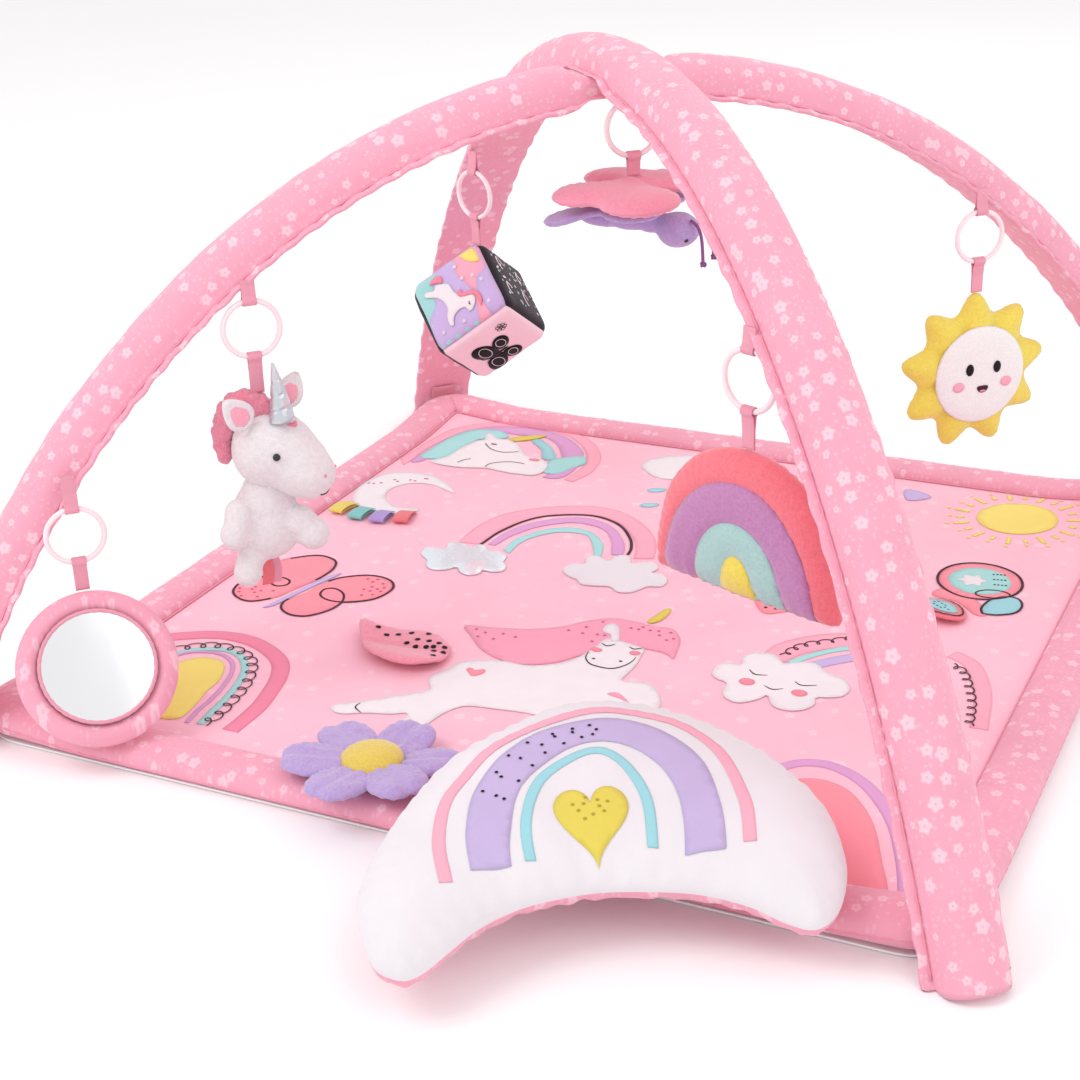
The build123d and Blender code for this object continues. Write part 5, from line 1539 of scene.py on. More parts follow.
# round welt holding the mirror sheet
V, F = [], []
for i in range(120):
    a = 2 * math.pi * i / 120
    for k in range(8):
        b = 2 * math.pi * k / 8
        rr = 0.0017 + 0.0002 * math.sin(i * 2.1)
        V.append((0.0487 * math.cos(a) + rr * math.cos(b) * math.cos(a), 0.0487 * math.sin(a) + rr * math.cos(b) * math.sin(a),
                  0.0088 + rr * math.sin(b)))
for i in range(120):
    j = (i + 1) % 120
    for k in range(8):
        l = (k + 1) % 8
        F.append((i * 8 + k, j * 8 + k, j * 8 + l, i * 8 + l))
ob = add_mesh("mirror_welt", mplace(np.array(V)), F, [M["ribbon"]])
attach(ob, "mirror_toy")
mm = Mat("mirror_sheet", rough=0.09, metallic=1.0)
mm.color(mm.mix(mm.remap(mm.noise(6.0, 1.0), 0.3, 0.7, 0.0, 0.3), lin("F4F5F7"), lin("E4E7EB")))
mm.bump(mm.noise(14.0, 1.0), 0.12, 0.002)
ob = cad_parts["mirror_disc"]
ob.data.materials.clear()
ob.data.materials.append(mm.m)

# ============================================================ SUN TOY
sp, az = hang_of("sun")
n, t = axes(az)
sctr = sp - np.array([0, 0, 0.0788])
splace = plane_place(sctr, t, (0, 0, 1))
pts = []
for a in np.linspace(0, 2 * math.pi, 360, endpoint=False):
    c_ = 0.5 + 0.5 * math.cos(9 * (a - math.pi / 2))
    r = 0.0605 + 0.0185 * c_ ** 1.25
    pts.append((r * math.cos(a), r * math.sin(a)))
pts = np.array(pts)
for _ in range(3):
    pts = 0.5 * pts + 0.25 * (np.roll(pts, 1, 0) + np.roll(pts, -1, 0))


def sun_valley(uv, side):
    a = np.arctan2(uv[:, 1], uv[:, 0])
    r = np.hypot(uv[:, 0], uv[:, 1])
    dl = (a - math.pi / 2) % (2 * math.pi / 9) - math.pi / 9
    dr = (a - math.pi / 2 + math.pi / 9) % (2 * math.pi / 9) - math.pi / 9
    return (0.0055 * np.exp(-(dl * r / 0.0045) ** 2) + 0.0016 * np.exp(-(dr * r / 0.0022) ** 2)) * smooth01((r - 0.034) / 0.02)


pf = Puff(pts, 0.0168, 0.0168, 0.026, pucker=0.0016, pucker_len=0.010, reach=0.012, soft=0.0014, seed=3.3,
          place=splace, valley=sun_valley, crown=0.12)
ob = pf.build("sun_cushion", [M["yellow_velour"]], step=0.0038)
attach(ob, "sun_toy")
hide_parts("sun_rays")
fplace = plane_place(sctr + n * 0.0150, t, (0, 0, 1))
face = Puff(circ(0.0490), 0.0062, 0.0010, 0.018, pucker=0.0004, pucker_len=0.008, reach=0.005, soft=0.0005, seed=3.9, place=fplace)
ob = face.build("sun_face_pad", [M["white_velour"]], step=0.004)
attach(ob, "sun_toy")
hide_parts("sun_face")
fa = Art("sun_face_print", lambda P, l: face.world(P, face.height(P, 1) + 0.0003 + 0.0003 * l), "sun_toy", "white_plush")
for x in (-0.0150, 0.0150):
    fa.dot("ink_plain_black", (x, 0.008), 0.0042, 0.0060, 0, 1, n=20)
    fa.dot("ink_soft", (x * 1.75, -0.0085), 0.0062, 0.0050, 0, 1, n=18)
fa.area("ink_dark", [(-0.0055, -0.0100), (0.0055, -0.0100), (0.0046, -0.0148), (0.0, -0.0168), (-0.0046, -0.0148)], 1, step=0.002, n=4)
fa.area("ink_coral", [(-0.0030, -0.0140), (0.0030, -0.0140), (0.0020, -0.0156), (-0.0020, -0.0156)], 2, step=0.0015, n=3)
fa.finish()

# ============================================================ CUBE TOY
cp, az = hang_of("cube")
HALF, FIL = 0.0490, 0.0150
E = []
for a in (-158.5, -38.5, 81.5):
    E.append(np.array([math.cos(math.radians(a)) * math.sqrt(2 / 3), math.sin(math.radians(a)) * math.sqrt(2 / 3), -1 / math.sqrt(3)]))
half_diag = 0.0490 * math.sqrt(3) - 0.0150 * (math.sqrt(3) - 1)
cmid = cp + np.array([0, 0, -half_diag - 0.0008])


def soft_cube(q):
    """q on the surface of the cube [-1, 1]^3, to its rounded, stuffed form."""
    p = q * HALF
    core = np.clip(p, -(HALF - FIL), HALF - FIL)
    d = p - core
    ln = np.maximum(np.linalg.norm(d, axis=1), 1e-9)[:, None]
    r = core + d / ln * FIL
    a = np.abs(q)
    others = np.sort(a, axis=1)[:, :2]
    bulge = (1 - others[:, 0] ** 2) * (1 - others[:, 1] ** 2)
    edge = np.sort(a, axis=1)[:, 1]
    pull = 0.0010 * np.exp(-((1 - edge) / 0.10) ** 2)
    wr = np.array([noise.noise((x[0] * 2.6 + 3, x[1] * 2.6, x[2] * 2.6)) for x in q]) * 0.0009
    nrm = q / np.maximum(np.linalg.norm(q, axis=1), 1e-9)[:, None]
    return r * (1 + 0.0 * edge)[:, None] + nrm * (0.0018 * bulge + wr - pull)[:, None]


def cube_world(q):
    p = soft_cube(q)
    return cmid + p[:, :1] * E[0] + p[:, 1:2] * E[1] + p[:, 2:3] * E[2]


# axes of q follow the three edges that run down from the top corner
FACES = {  # name: (fixed axis, sign, material)
    "front": (2, -1, "teal_cotton"), "right": (0, -1, "black_cotton"), "under": (1, 1, "pale_pink_cotton"),
    "back": (0, 1, "black_cotton"), "far": (2, 1, "gold_velour"), "left": (1, -1, "lavender_cotton")}
vid = {}
V, F, MI = [], [], []
N = 26
cube_mats = [M[v[2]] for v in FACES.values()]
grid = np.sign(np.linspace(-1, 1, N + 1)) * np.abs(np.linspace(-1, 1, N + 1)) ** 0.72
for fi, (ax_, sg, mt_) in enumerate(FACES.values()):
    o1, o2 = [k for k in range(3) if k != ax_]
    idm = {}
    for i in range(N + 1):
        for j in range(N + 1):
            q = [0, 0, 0]
            q[ax_] = sg
            q[o1] = grid[i]
            q[o2] = grid[j]
            key = tuple(np.round(q, 5))
            if key not in vid:
                vid[key] = len(V)
                V.append(q)
            idm[(i, j)] = vid[key]
    e1 = np.zeros(3)
    e1[o1] = 1
    e2 = np.zeros(3)
    e2[o2] = 1
    nn_ = np.cross(E[o1], E[o2])
    outw = sg * E[ax_]
    flip = np.dot(nn_, outw) < 0
    for i in range(N):
        for j in range(N):
            f = (idm[(i, j)], idm[(i + 1, j)], idm[(i + 1, j + 1)], idm[(i, j + 1)])
            F.append(f[::-1] if flip else f)
            MI.append(fi)
ob = add_mesh("cube_soft", cube_world(np.array(V, float)), F, cube_mats, idx=MI)
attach(ob, "cube_toy")
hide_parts("cube_cover")
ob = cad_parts["cube_filling"]
ob.data.materials.clear()
ob.data.materials.append(M["white_cotton"])
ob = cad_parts["cube_chime"]
ob.data.materials.clear()
ob.data.materials.append(plastic("chime_shell", "EFEFF0", 0.4))


def cube_face(ax_, sg, ua, us, va, vs, body="cube_toy", prefix="cube_print"):
    """Art on one face. u runs along edge axis ua (sign us), v along va; both in metres from the face's middle."""
    def surf(P, lift):
        q = np.zeros((len(P), 3))
        q[:, ax_] = sg
        q[:, ua] = us * P[:, 0] / HALF
        q[:, va] = vs * P[:, 1] / HALF
        q = np.clip(q, -1, 1)
        w = cube_world(q)
        c = w - cmid
        return w + sg * E[ax_] * (0.0003 + 0.0003 * lift)
    return Art(prefix, surf, body, "black_white_print")


# front face: u to the viewer's right along edge 2, v up (towards the top corner) against edge 1
def diag(ax_, sg, ra, rs, la, ls, prefix):
    """Picture axes x right, y up on a face whose lower edges run along ra and la."""
    def surf(P, lift):
        q = np.zeros((len(P), 3))
        q[:, ax_] = sg
        x, y = P[:, 0], P[:, 1]
        q[:, ra] = rs * (x) / HALF
        q[:, la] = ls * (-y) / HALF
        q = np.clip(q, -1, 1)
        return cube_world(q) + sg * E[ax_] * (0.0003 + 0.0003 * lift)
    return Art(prefix, surf, "cube_toy", "black_white_print")


# the front face's picture stands with its right side along edge 2 and its left down along edge 1
ca_ = diag(2, -1, 1, 1, 0, 1, "cube_front")
h = 0.0488
ca_.area("ink_lilac", [(-h, -0.004), (-0.026, -0.020), (-0.004, -0.026), (0.012, -h), (h, -h), (h, h), (-h, h)], 0, smooth=False)
ca_.area("ink_rose", [(-h, 0.016), (-0.020, 0.010), (0.010, 0.020), (h, 0.010), (h, h), (-h, h)], 1, smooth=False)
ca_.area("ink_lilac", [(-0.012, h), (-0.004, 0.028), (0.014, 0.022), (h, 0.026), (h, h)], 2, smooth=False)
ca_.area("ink_yellow", [(-0.020, 0.040), (-0.036, 0.040), (-0.040, 0.036), (-0.040, 0.022), (-0.033, 0.024), (-0.024, 0.030)], 3, step=0.003)
body_pts = [(-0.022, -0.010), (-0.016, -0.002), (-0.004, 0.000), (0.006, 0.006), (0.010, 0.016), (0.018, 0.018), (0.026, 0.012),
            (0.027, 0.006), (0.020, 0.004), (0.018, -0.004), (0.022, -0.012), (0.030, -0.016), (0.027, -0.020), (0.016, -0.018),
            (0.008, -0.014), (-0.004, -0.016), (-0.012, -0.022), (-0.020, -0.032), (-0.025, -0.030), (-0.020, -0.020), (-0.024, -0.016)]
ca_.area("ink_white", body_pts, 4, step=0.003, n=4)
ca_.area("ink_blush", [(0.004, 0.008), (0.006, 0.016), (0.012, 0.023), (0.022, 0.025), (0.030, 0.020), (0.024, 0.020), (0.014, 0.019), (0.010, 0.012), (0.006, 0.004), (0.000, 0.002), (-0.002, 0.008)], 5, step=0.003, n=4)
ca_.area("ink_blush", [(-0.022, -0.008), (-0.030, -0.006), (-0.034, -0.014), (-0.030, -0.022), (-0.026, -0.014)], 5, step=0.003, n=4)
ca_.line("ink_dark", [(0.017, 0.011), (0.019, 0.0095), (0.021, 0.0108)], 0.0010, 6)
for q in ((-0.030, 0.012), (-0.008, 0.026), (0.030, 0.030), (0.033, -0.004), (-0.012, 0.014), (0.030, -0.030), (0.002, 0.033)):
    for k in range(5):
        a0 = math.pi / 2 + k * 2 * math.pi / 5
        ca_.dot("ink_white", (q[0] + 0.0012 * math.cos(a0), q[1] + 0.0012 * math.sin(a0)), 0.0016, 0.0007, a0, 4, n=8)
ca_.finish()
# right face: black with pale marks
cb_ = diag(0, -1, 1, 1, 2, 1, "cube_right")
for k in range(46):
    x, y = rng.uniform(-0.036, 0.036, 2)
    cb_.dot("ink_white" if k % 3 else "ink_teal", (x, y), 0.0011 + 0.0009 * rng.random(), lift=1, n=8)
for cx, cy, r in ((-0.020, 0.022, 0.008), (0.016, 0.026, 0.007), (0.018, -0.006, 0.008), (-0.014, -0.016, 0.007)):
    cb_.line("ink_white", [(cx + r * math.cos(a) * (1 + 0.25 * math.sin(3 * a)), cy + 0.6 * r * math.sin(a)) for a in np.linspace(0, 4.6, 16)], 0.0022, 2)
cb_.finish()
# lower face: pink with a black butterfly and a small outlined flower
cc_ = diag(1, 1, 2, 1, 0, -1, "cube_under")
cx, cy = 0.010, 0.003
for sx, sy, rx, ry, rot in ((-1, 1, 0.0170, 0.0115, 0.5), (1, 1, 0.0170, 0.0115, -0.5), (-1, -1, 0.0120, 0.0095, -0.5), (1, -1, 0.0120, 0.0095, 0.5)):
    cc_.dot("ink_plain_black", (cx + sx * 0.0140, cy + sy * 0.0100), rx, ry, -rot if sy > 0 else -rot, 1, n=26)
    cc_.line("ink_white", [(cx + sx * (0.0140 + 0.6 * rx * math.cos(a)), cy + sy * (0.0100 + 0.55 * ry * math.sin(a))) for a in np.linspace(0, 6.28, 22)], 0.0007, 3)
cc_.dot("ink_plain_black", (cx, cy), 0.0020, 0.0120, 0, 2, n=20)
cc_.line("ink_plain_black", [(cx, cy + 0.011), (cx - 0.004, cy + 0.018), (cx - 0.008, cy + 0.019)], 0.0009, 2)
cc_.line("ink_plain_black", [(cx, cy + 0.011), (cx + 0.004, cy + 0.018), (cx + 0.008, cy + 0.019)], 0.0009, 2)
fx, fy = -0.026, -0.022
for k in range(6):
    a0 = k * math.pi / 3
    cc_.line("ink_plain_black", [(fx + 0.0038 * math.cos(a0) + 0.0026 * math.cos(b), fy + 0.0038 * math.sin(a0) + 0.0026 * math.sin(b)) for b in np.linspace(0, 6.28, 14)], 0.0007, 1)
cc_.line("ink_plain_black", [(fx + 0.0017 * math.cos(b), fy + 0.0017 * math.sin(b)) for b in np.linspace(0, 6.28, 14)], 0.0007, 2)
cc_.finish()

# ============================================================ RAINBOW CUSHION
rp, az = hang_of("rainbow")
n, t = axes(az)
rplace = plane_place(rp - np.array([0, 0, 0.0008]), t, (0, 0, 1))
o = [(-0.088, -0.121), (-0.045, -0.1225), (0, -0.1235), (0.045, -0.1225), (0.088, -0.121), (0.0915, -0.112), (0.0905, -0.090),
     (0.080, -0.050), (0.058, -0.021), (0.030, -0.005), (0.0, -0.0005), (-0.030, -0.005), (-0.058, -0.021), (-0.080, -0.050),
     (-0.0905, -0.090), (-0.0915, -0.112)]
BANDS = (("mauve_velour", 0.82, 0.80), ("teal_velour", 0.49, 0.53), ("yellow_velour", 0.19, 0.30))


def band_k(uv, kx, ky):
    return np.hypot(uv[:, 0] / (0.093 * kx), (uv[:, 1] + 0.124) / (0.124 * ky))


def rb_valley(uv, side):
    v = np.zeros(len(uv))
    for _, kx, ky in BANDS:
        v += 0.0030 * np.exp(-(((band_k(uv, kx, ky) - 1) * 0.09 * kx) / 0.0030) ** 2)
    return v


rb = Puff(catmull(o, 5), 0.0185, 0.0185, 0.030, pucker=0.0022, pucker_len=0.011, reach=0.012, soft=0.0016, seed=6.2, place=rplace,
          valley=rb_valley, crown=0.15)
ob = rb.build("rainbow_stuffed", [M["coral_velour"]], step=0.004)
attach(ob, "rainbow_toy")
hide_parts("rainbow_cushion")
for side in (1, -1):
    ra = Art("rainbow_panel_" + ("front" if side > 0 else "back"),
             (lambda P, l, s=side: rb.world(P, rb.height(P, s) + s * (0.0004 + 0.0004 * l))), "rainbow_toy", "coral_velour")
    for i, (mat, kx, ky) in enumerate(BANDS):
        pts = []
        for a in np.linspace(0.0, math.pi, 60):
            pts.append((0.093 * kx * math.cos(a), -0.1205 + 0.121 * ky * math.sin(a)))
        ra.area(mat, pts, i, smooth=False, step=0.0045)
    obs = ra.finish()

# ============================================================ BUTTERFLY TOY
bp, az = hang_of("butterfly")
wt = bp[2] - 0.0008


def wing_outline(spec, k=14):
    """Outline of a group of overlapping discs, as a smooth radial curve from the middle."""
    pts = []
    for a in np.linspace(0, 2 * math.pi, 240, endpoint=False):
        d = np.array([math.cos(a), math.sin(a)])
        best = 0.020
        for cx, cy, r in spec:
            b = d @ (cx, cy)
            disc = b * b - (cx * cx + cy * cy - r * r)
            if disc > 0:
                best = max(best, b + math.sqrt(disc))
        pts.append(d * best)
    pts = np.array(pts)
    for _ in range(k):
        pts = 0.5 * pts + 0.25 * (np.roll(pts, 1, 0) + np.roll(pts, -1, 0))
    return pts


def v_pucker(uv, side):
    r = np.hypot(uv[:, 0], uv[:, 1])
    line = np.exp(-(uv[:, 1] / 0.004) ** 2) * np.exp(-(uv[:, 0] / 0.045) ** 2)
    return (0.0040 * line - 0.0052 * np.exp(-(r / 0.010) ** 2)) * (1 if side > 0 else 0.4)


def droop(p):
    r2 = (p[:, 0] / 0.075) ** 2 * 0.45 + (p[:, 1] / 0.080) ** 2
    return np.c_[p[:, :2], p[:, 2] - 0.0050 * r2]


top_w = Puff(wing_outline([(0.022, 0.040, 0.037), (0.022, -0.040, 0.037), (-0.032, 0.034, 0.030), (-0.032, -0.034, 0.030)]),
             0.0086, 0.0076, 0.020, pucker=0.0014, pucker_len=0.012, reach=0.012, soft=0.0016, seed=7.7, shape=droop,
             place=plane_place((bp[0], bp[1], wt - 0.0092), (1, 0, 0), (0, 1, 0)), valley=v_pucker)
ob = top_w.build("wings_upper", [M["pink_velour"]], step=0.0042)
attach(ob, "butterfly_toy")
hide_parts("butterfly_wings_top")


def droop2(p):
    r2 = (p[:, 0] / 0.075) ** 2 * 0.45 + (p[:, 1] / 0.080) ** 2
    back = smooth01((-p[:, 0] - 0.020) / 0.055)
    return np.c_[p[:, :2], p[:, 2] - 0.0045 * r2 - 0.010 * back]


low_w = Puff(wing_outline([(-0.046, 0.030, 0.027), (-0.046, -0.030, 0.027), (0.010, 0.028, 0.027), (0.010, -0.028, 0.027)]),
             0.0046, 0.0060, 0.014, pucker=0.0012, pucker_len=0.011, reach=0.010, soft=0.0014, seed=8.4, shape=droop2,
             place=plane_place((bp[0], bp[1], wt - 0.0235), (1, 0, 0), (0, 1, 0)))
ob = low_w.build("wings_lower", [M["lavender_velour"]], step=0.0042)
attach(ob, "butterfly_toy")
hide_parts("butterfly_wings_low")


def blob(name, balls, mat, body, voxel=0.0028, smooth=6, subdiv=1, lump=0.0, seed=0.0, replaces=(), slot=None, fill_=0.8, cut=None):
    """One stuffed form from overlapping balls: (x, y, z, rx, ry, rz, rotation or None)."""
    V, F = [], []
    for b in balls:
        c = np.array(b[:3])
        r = b[3:6]
        R = b[6] if len(b) > 6 and b[6] is not None else Matrix.Identity(3)
        k0 = len(V)
        na, nb = 28, 16
        for j in range(nb + 1):
            ph = math.pi * j / nb
            for i in range(na):
                th = 2 * math.pi * i / na
                q = Vector((r[0] * math.sin(ph) * math.cos(th), r[1] * math.sin(ph) * math.sin(th), r[2] * math.cos(ph)))
                V.append(c + np.array(R @ q))
        for j in range(nb):
            for i in range(na):
                l = (i + 1) % na
                F.append((k0 + j * na + i, k0 + (j + 1) * na + i, k0 + (j + 1) * na + l, k0 + j * na + l))
    me = bpy.data.meshes.new(name + "_raw")
    me.from_pydata([tuple(map(float, v)) for v in V], [], F)
    raw = bpy.data.objects.new(name + "_raw", me)
    bpy.context.scene.collection.objects.link(raw)
    m = raw.modifiers.new("r", "REMESH")
    m.mode = "VOXEL"
    m.voxel_size = voxel
    s = raw.modifiers.new("s", "SMOOTH")
    s.factor = 0.5
    s.iterations = smooth
    dg = bpy.context.evaluated_depsgraph_get()
    ev = bpy.data.meshes.new_from_object(raw.evaluated_get(dg))
    bpy.data.objects.remove(raw)
    co = np.zeros(len(ev.vertices) * 3)
    ev.vertices.foreach_get("co", co)
    co = co.reshape(-1, 3)
    nr = np.zeros(len(ev.vertices) * 3)
    ev.vertices.foreach_get("normal", nr)
    nr = nr.reshape(-1, 3)
    if lump:
        d = np.array([noise.noise((p[0] * 85 + seed, p[1] * 85, p[2] * 85)) * 0.6 + noise.noise((p[0] * 260, p[1] * 260 + seed, p[2] * 260)) * 0.4
                      for p in co])
        co = co + nr * (lump * d)[:, None]
    if cut is not None:
        co = cut(co)
    faces = [tuple(p.vertices) for p in ev.polygons]
    bpy.data.meshes.remove(ev)
    ob = add_mesh(name, co, faces, [mat])
    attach(ob, body)
    if replaces:
        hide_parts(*replaces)
    return ob


def bead(name, c, r, mat, body, squash_=(1, 1, 1)):
    V, F = [], []
    na, nb = 18, 10
    for j in range(nb + 1):
        ph = math.pi * j / nb
        for i in range(na):
            th = 2 * math.pi * i / na
            V.append((c[0] + r * squash_[0] * math.sin(ph) * math.cos(th), c[1] + r * squash_[1] * math.sin(ph) * math.sin(th),
                      c[2] + r * squash_[2] * math.cos(ph)))
    for j in range(nb):
        for i in range(na):
            l = (i + 1) % na
            if j == 0:
                F.append((i, na + i, na + l))
            elif j == nb - 1:
                F.append((j * na + i, (j + 1) * na + i, j * na + l))
            else:
                F.append((j * na + i, (j + 1) * na + i, (j + 1) * na + l, j * na + l))
    ob = add_mesh(name, V, F, [mat])
    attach(ob, body)
    return ob


EYE = plastic("eye_bead", "17131A", 0.12)
blob("butterfly_stuffed", [(bp[0] - 0.030, bp[1], wt - 0.0385, 0.024, 0.0095, 0.0090), (bp[0] - 0.004, bp[1], wt - 0.0385, 0.024, 0.0105, 0.0098),
                           (bp[0] + 0.018, bp[1], wt - 0.0390, 0.018, 0.0105, 0.0100), (bp[0] + 0.042, bp[1], wt - 0.0440, 0.0195, 0.0185, 0.0160)],
     M["lavender_velour"], "butterfly_toy", 0.0022, 4, lump=0.0006, seed=2.2, replaces=("butterfly_body",), slot="lavender_velour",
     cut=lambda co: np.c_[co[:, :2], np.minimum(co[:, 2], wt - 0.0300)])
for k, sy in enumerate((-1, 1)):
    bead("butterfly_eye_" + str(k + 1), (bp[0] + 0.0535, bp[1] + sy * 0.0105, wt - 0.0500), 0.0024, EYE, "butterfly_toy")

for k, side in enumerate((-1, 1)):
    x0, y0, z0 = bp[0] + 0.057, bp[1] + side * 0.008, wt - 0.033
    route = [(x0, y0, z0), (x0 + 0.007, y0 + side * 0.0015, z0 - 0.003), (x0 + 0.011, y0 + side * 0.0025, z0 - 0.012),
             (x0 + 0.013, y0 + side * 0.0045, z0 - 0.024), (x0 + 0.0135, y0 + side * 0.005, z0 - 0.035)]
    cu = bpy.data.curves.new("antenna_cord_" + str(k + 1), "CURVE")
    cu.dimensions = "3D"
    sp_ = cu.splines.new("NURBS")
    sp_.points.add(len(route) - 1)
    for i, q in enumerate(route):
        sp_.points[i].co = (*q, 1.0)
    sp_.order_u = 3
    sp_.use_endpoint_u = True
    sp_.resolution_u = 12
    cu.bevel_depth = 0.0015
    cu.bevel_resolution = 4
    cu.use_fill_caps = True
    cu.materials.append(M["cord"])
    co_ = bpy.data.objects.new("antenna_cord_" + str(k + 1), cu)
    bpy.context.scene.collection.objects.link(co_)
    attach(co_, "butterfly_toy")
    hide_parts("antenna_left" if k == 0 else "antenna_right")
    d = np.array(route[-1]) - np.array(route[-2])
    d /= np.linalg.norm(d)
    kc = np.array(route[-1]) + d * 0.0020
    # overhand knot: a small trefoil tube
    V, F = [], []
    P = []
    for a in np.linspace(0, 2 * math.pi, 60, endpoint=False):
        P.append(kc + 0.00072 * np.array([math.sin(a) + 2 * math.sin(2 * a), math.cos(a) - 2 * math.cos(2 * a), -1.6 * math.sin(3 * a)]))
    P = np.array(P)
    T = np.roll(P, -1, 0) - np.roll(P, 1, 0)
    T /= np.linalg.norm(T, axis=1)[:, None]
    up_ = np.array([0.3, 0.5, 0.81])
    N1 = np.cross(T, up_)
    N1 /= np.linalg.norm(N1, axis=1)[:, None]
    N2 = np.cross(T, N1)
    for i in range(60):
        for q in range(8):
            b = 2 * math.pi * q / 8
            V.append(P[i] + 0.0012 * (N1[i] * math.cos(b) + N2[i] * math.sin(b)))
    for i in range(60):
        j = (i + 1) % 60
        for q in range(8):
            l = (q + 1) % 8
            F.append((i * 8 + q, i * 8 + l, j * 8 + l, j * 8 + q))
    kn = add_mesh("antenna_knot_" + str(k + 1), V, F, [M["cord"]])
    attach(kn, "butterfly_toy")
    if k == 0:
        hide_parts("antenna_knots")

# ============================================================ PLUSH PONY
upn, az = hang_of("unicorn")
uc = np.array(TOYS["unicorn"][0])
n, t = axes(az)
UPV = np.array([0, 0, 1.0])


def U(x, y, z):
    """Millimetres: x along the ring, y up from the ring centre, z towards the viewer."""
    return uc + (t * x + UPV * y + n * z) / 1000


BASE = Matrix((tuple(t), tuple(UPV), tuple(n))).transposed()


def urot(yaw, pitch):
    return BASE @ Matrix.Rotation(math.radians(yaw), 3, "Y") @ Matrix.Rotation(math.radians(pitch), 3, "Z")


HR = urot(-35, -12)
hc = U(8, -108, 4)


def Hh(x, y, z):
    return hc + np.array(HR @ Vector((x, y, z))) / 1000


def ball(c, rx, ry, rz, R=None):
    return (*c, rx / 1000, ry / 1000, rz / 1000, R)


blob("pony_head", [ball(Hh(-3, 0, 0), 34, 36, 35, HR), ball(Hh(10, -2, 0), 31, 32, 31, HR), ball(Hh(23, -9, 0), 29, 28, 29, HR),
                   ball(Hh(33, -14, 0), 26, 23, 27, HR)],
     M["white_plush"], "unicorn_toy", 0.003, 8, lump=0.0011, seed=1.0, replaces=("unicorn_head",), slot="white_plush")
blob("pony_body", [ball(U(1, -148, 2), 24, 22, 22, BASE), ball(U(-4, -162, 2), 28, 24, 24, BASE), ball(U(-4, -182, 2), 30, 29, 28, BASE), ball(U(-4, -176, 4), 27, 24, 26, BASE),
                   # front legs
                   ball(U(-30, -162, 18), 13, 18, 13, BASE), ball(U(-36, -176, 21), 13, 15, 13, BASE),
                   ball(U(24, -174, 18), 14, 15, 14, BASE), ball(U(33, -186, 23), 15, 15, 15, BASE),
                   # hind legs
                   ball(U(-22, -204, 12), 13, 15, 13, BASE), ball(U(-27, -216, 17), 13, 13, 13, BASE),
                   ball(U(-4, -204, -10), 13, 14, 13, BASE), ball(U(-7, -213, -16), 12, 13, 12, BASE)],
     M["white_plush"], "unicorn_toy", 0.003, 6, lump=0.0012, seed=5.0, replaces=("unicorn_body",), slot="white_plush")
# mane: tufts at the crown and down the nape
tufts = []
for x, y, z, r in ((-2, -69, 2, 12), (-9, -66, -1, 13), (-17, -67, -4, 13), (-24, -73, -7, 12), (-29, -82, -9, 11), (-32, -92, -10, 10),
                   (-33, -103, -11, 9), (-32, -113, -11, 8), (5, -71, 5, 9)):
    tufts.append(ball(U(x, y, z), r, r, r, BASE))
blob("pony_mane", tufts, M["pink_plush"], "unicorn_toy", 0.0026, 3, lump=0.0042, seed=8.0, replaces=("unicorn_mane",), slot="deep_pink_plush")
tufts = [ball(Hh(-2 + 5 * i, 33 - 0.6 * i * i, 3 + 2 * math.sin(i * 2.0)), 8, 7, 8, HR) for i in range(4)]
blob("pony_fringe", tufts, M["pink_plush"], "unicorn_toy", 0.0022, 3, lump=0.003, seed=3.0, slot="deep_pink_plush")


def ear(name, root, tip, facing, w, first):
    """A soft folded ear: white outside, pink lining in the hollow."""
    root, tip = np.array(root), np.array(tip)
    d = tip - root
    L = np.linalg.norm(d)
    d /= L
    f = facing - d * np.dot(facing, d)
    f /= np.linalg.norm(f)
    s = np.cross(d, f)
    for nm, k, off, mt_ in (("", 1.0, 0.0, "white_plush"), ("_lining", 0.66, 0.0026, "inner_pink")):
        o = []
        for a in np.linspace(0, 2 * math.pi, 50, endpoint=False):
            yy = 0.5 - 0.5 * math.cos(a)
            prof = math.sin(math.pi * min(yy ** 0.75, 1.0)) ** 0.7
            o.append((k * w * 0.5 * prof * math.copysign(1, math.sin(a)) if 0 < yy < 1 else 0.0, L * (0.5 + k * (yy - 0.5)) - (0 if k == 1 else L * 0.04)))
        o = np.array(o)
        o = resample(o, 0.0015)

        def cup(p, k=k):
            return np.c_[p[:, :2], p[:, 2] + 0.0032 * (p[:, 0] / (w * 0.5)) ** 2 - 0.001]

        def pl(p, off=off):
            return root + p[:, :1] * s + p[:, 1:2] * d + (p[:, 2:3] + off) * f
        pf = Puff(o, 0.0034 if k == 1 else 0.0010, 0.0034 if k == 1 else 0.0006, 0.006, pucker=0.0003, reach=0.004, soft=0.0005,
                  seed=w * 100, shape=cup, place=pl)
        ob = pf.build(name + nm, [M[mt_]], step=0.0026)
        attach(ob, "unicorn_toy")
        if first and k == 1.0:
            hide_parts("unicorn_ears")


ear("pony_ear_near", U(-13, -80, 20), U(-34, -52, 24), n + 0.25 * t, 0.027, True)
ear("pony_ear_far", U(21, -76, -4), U(37, -45, -6), n - 0.15 * t, 0.025, False)

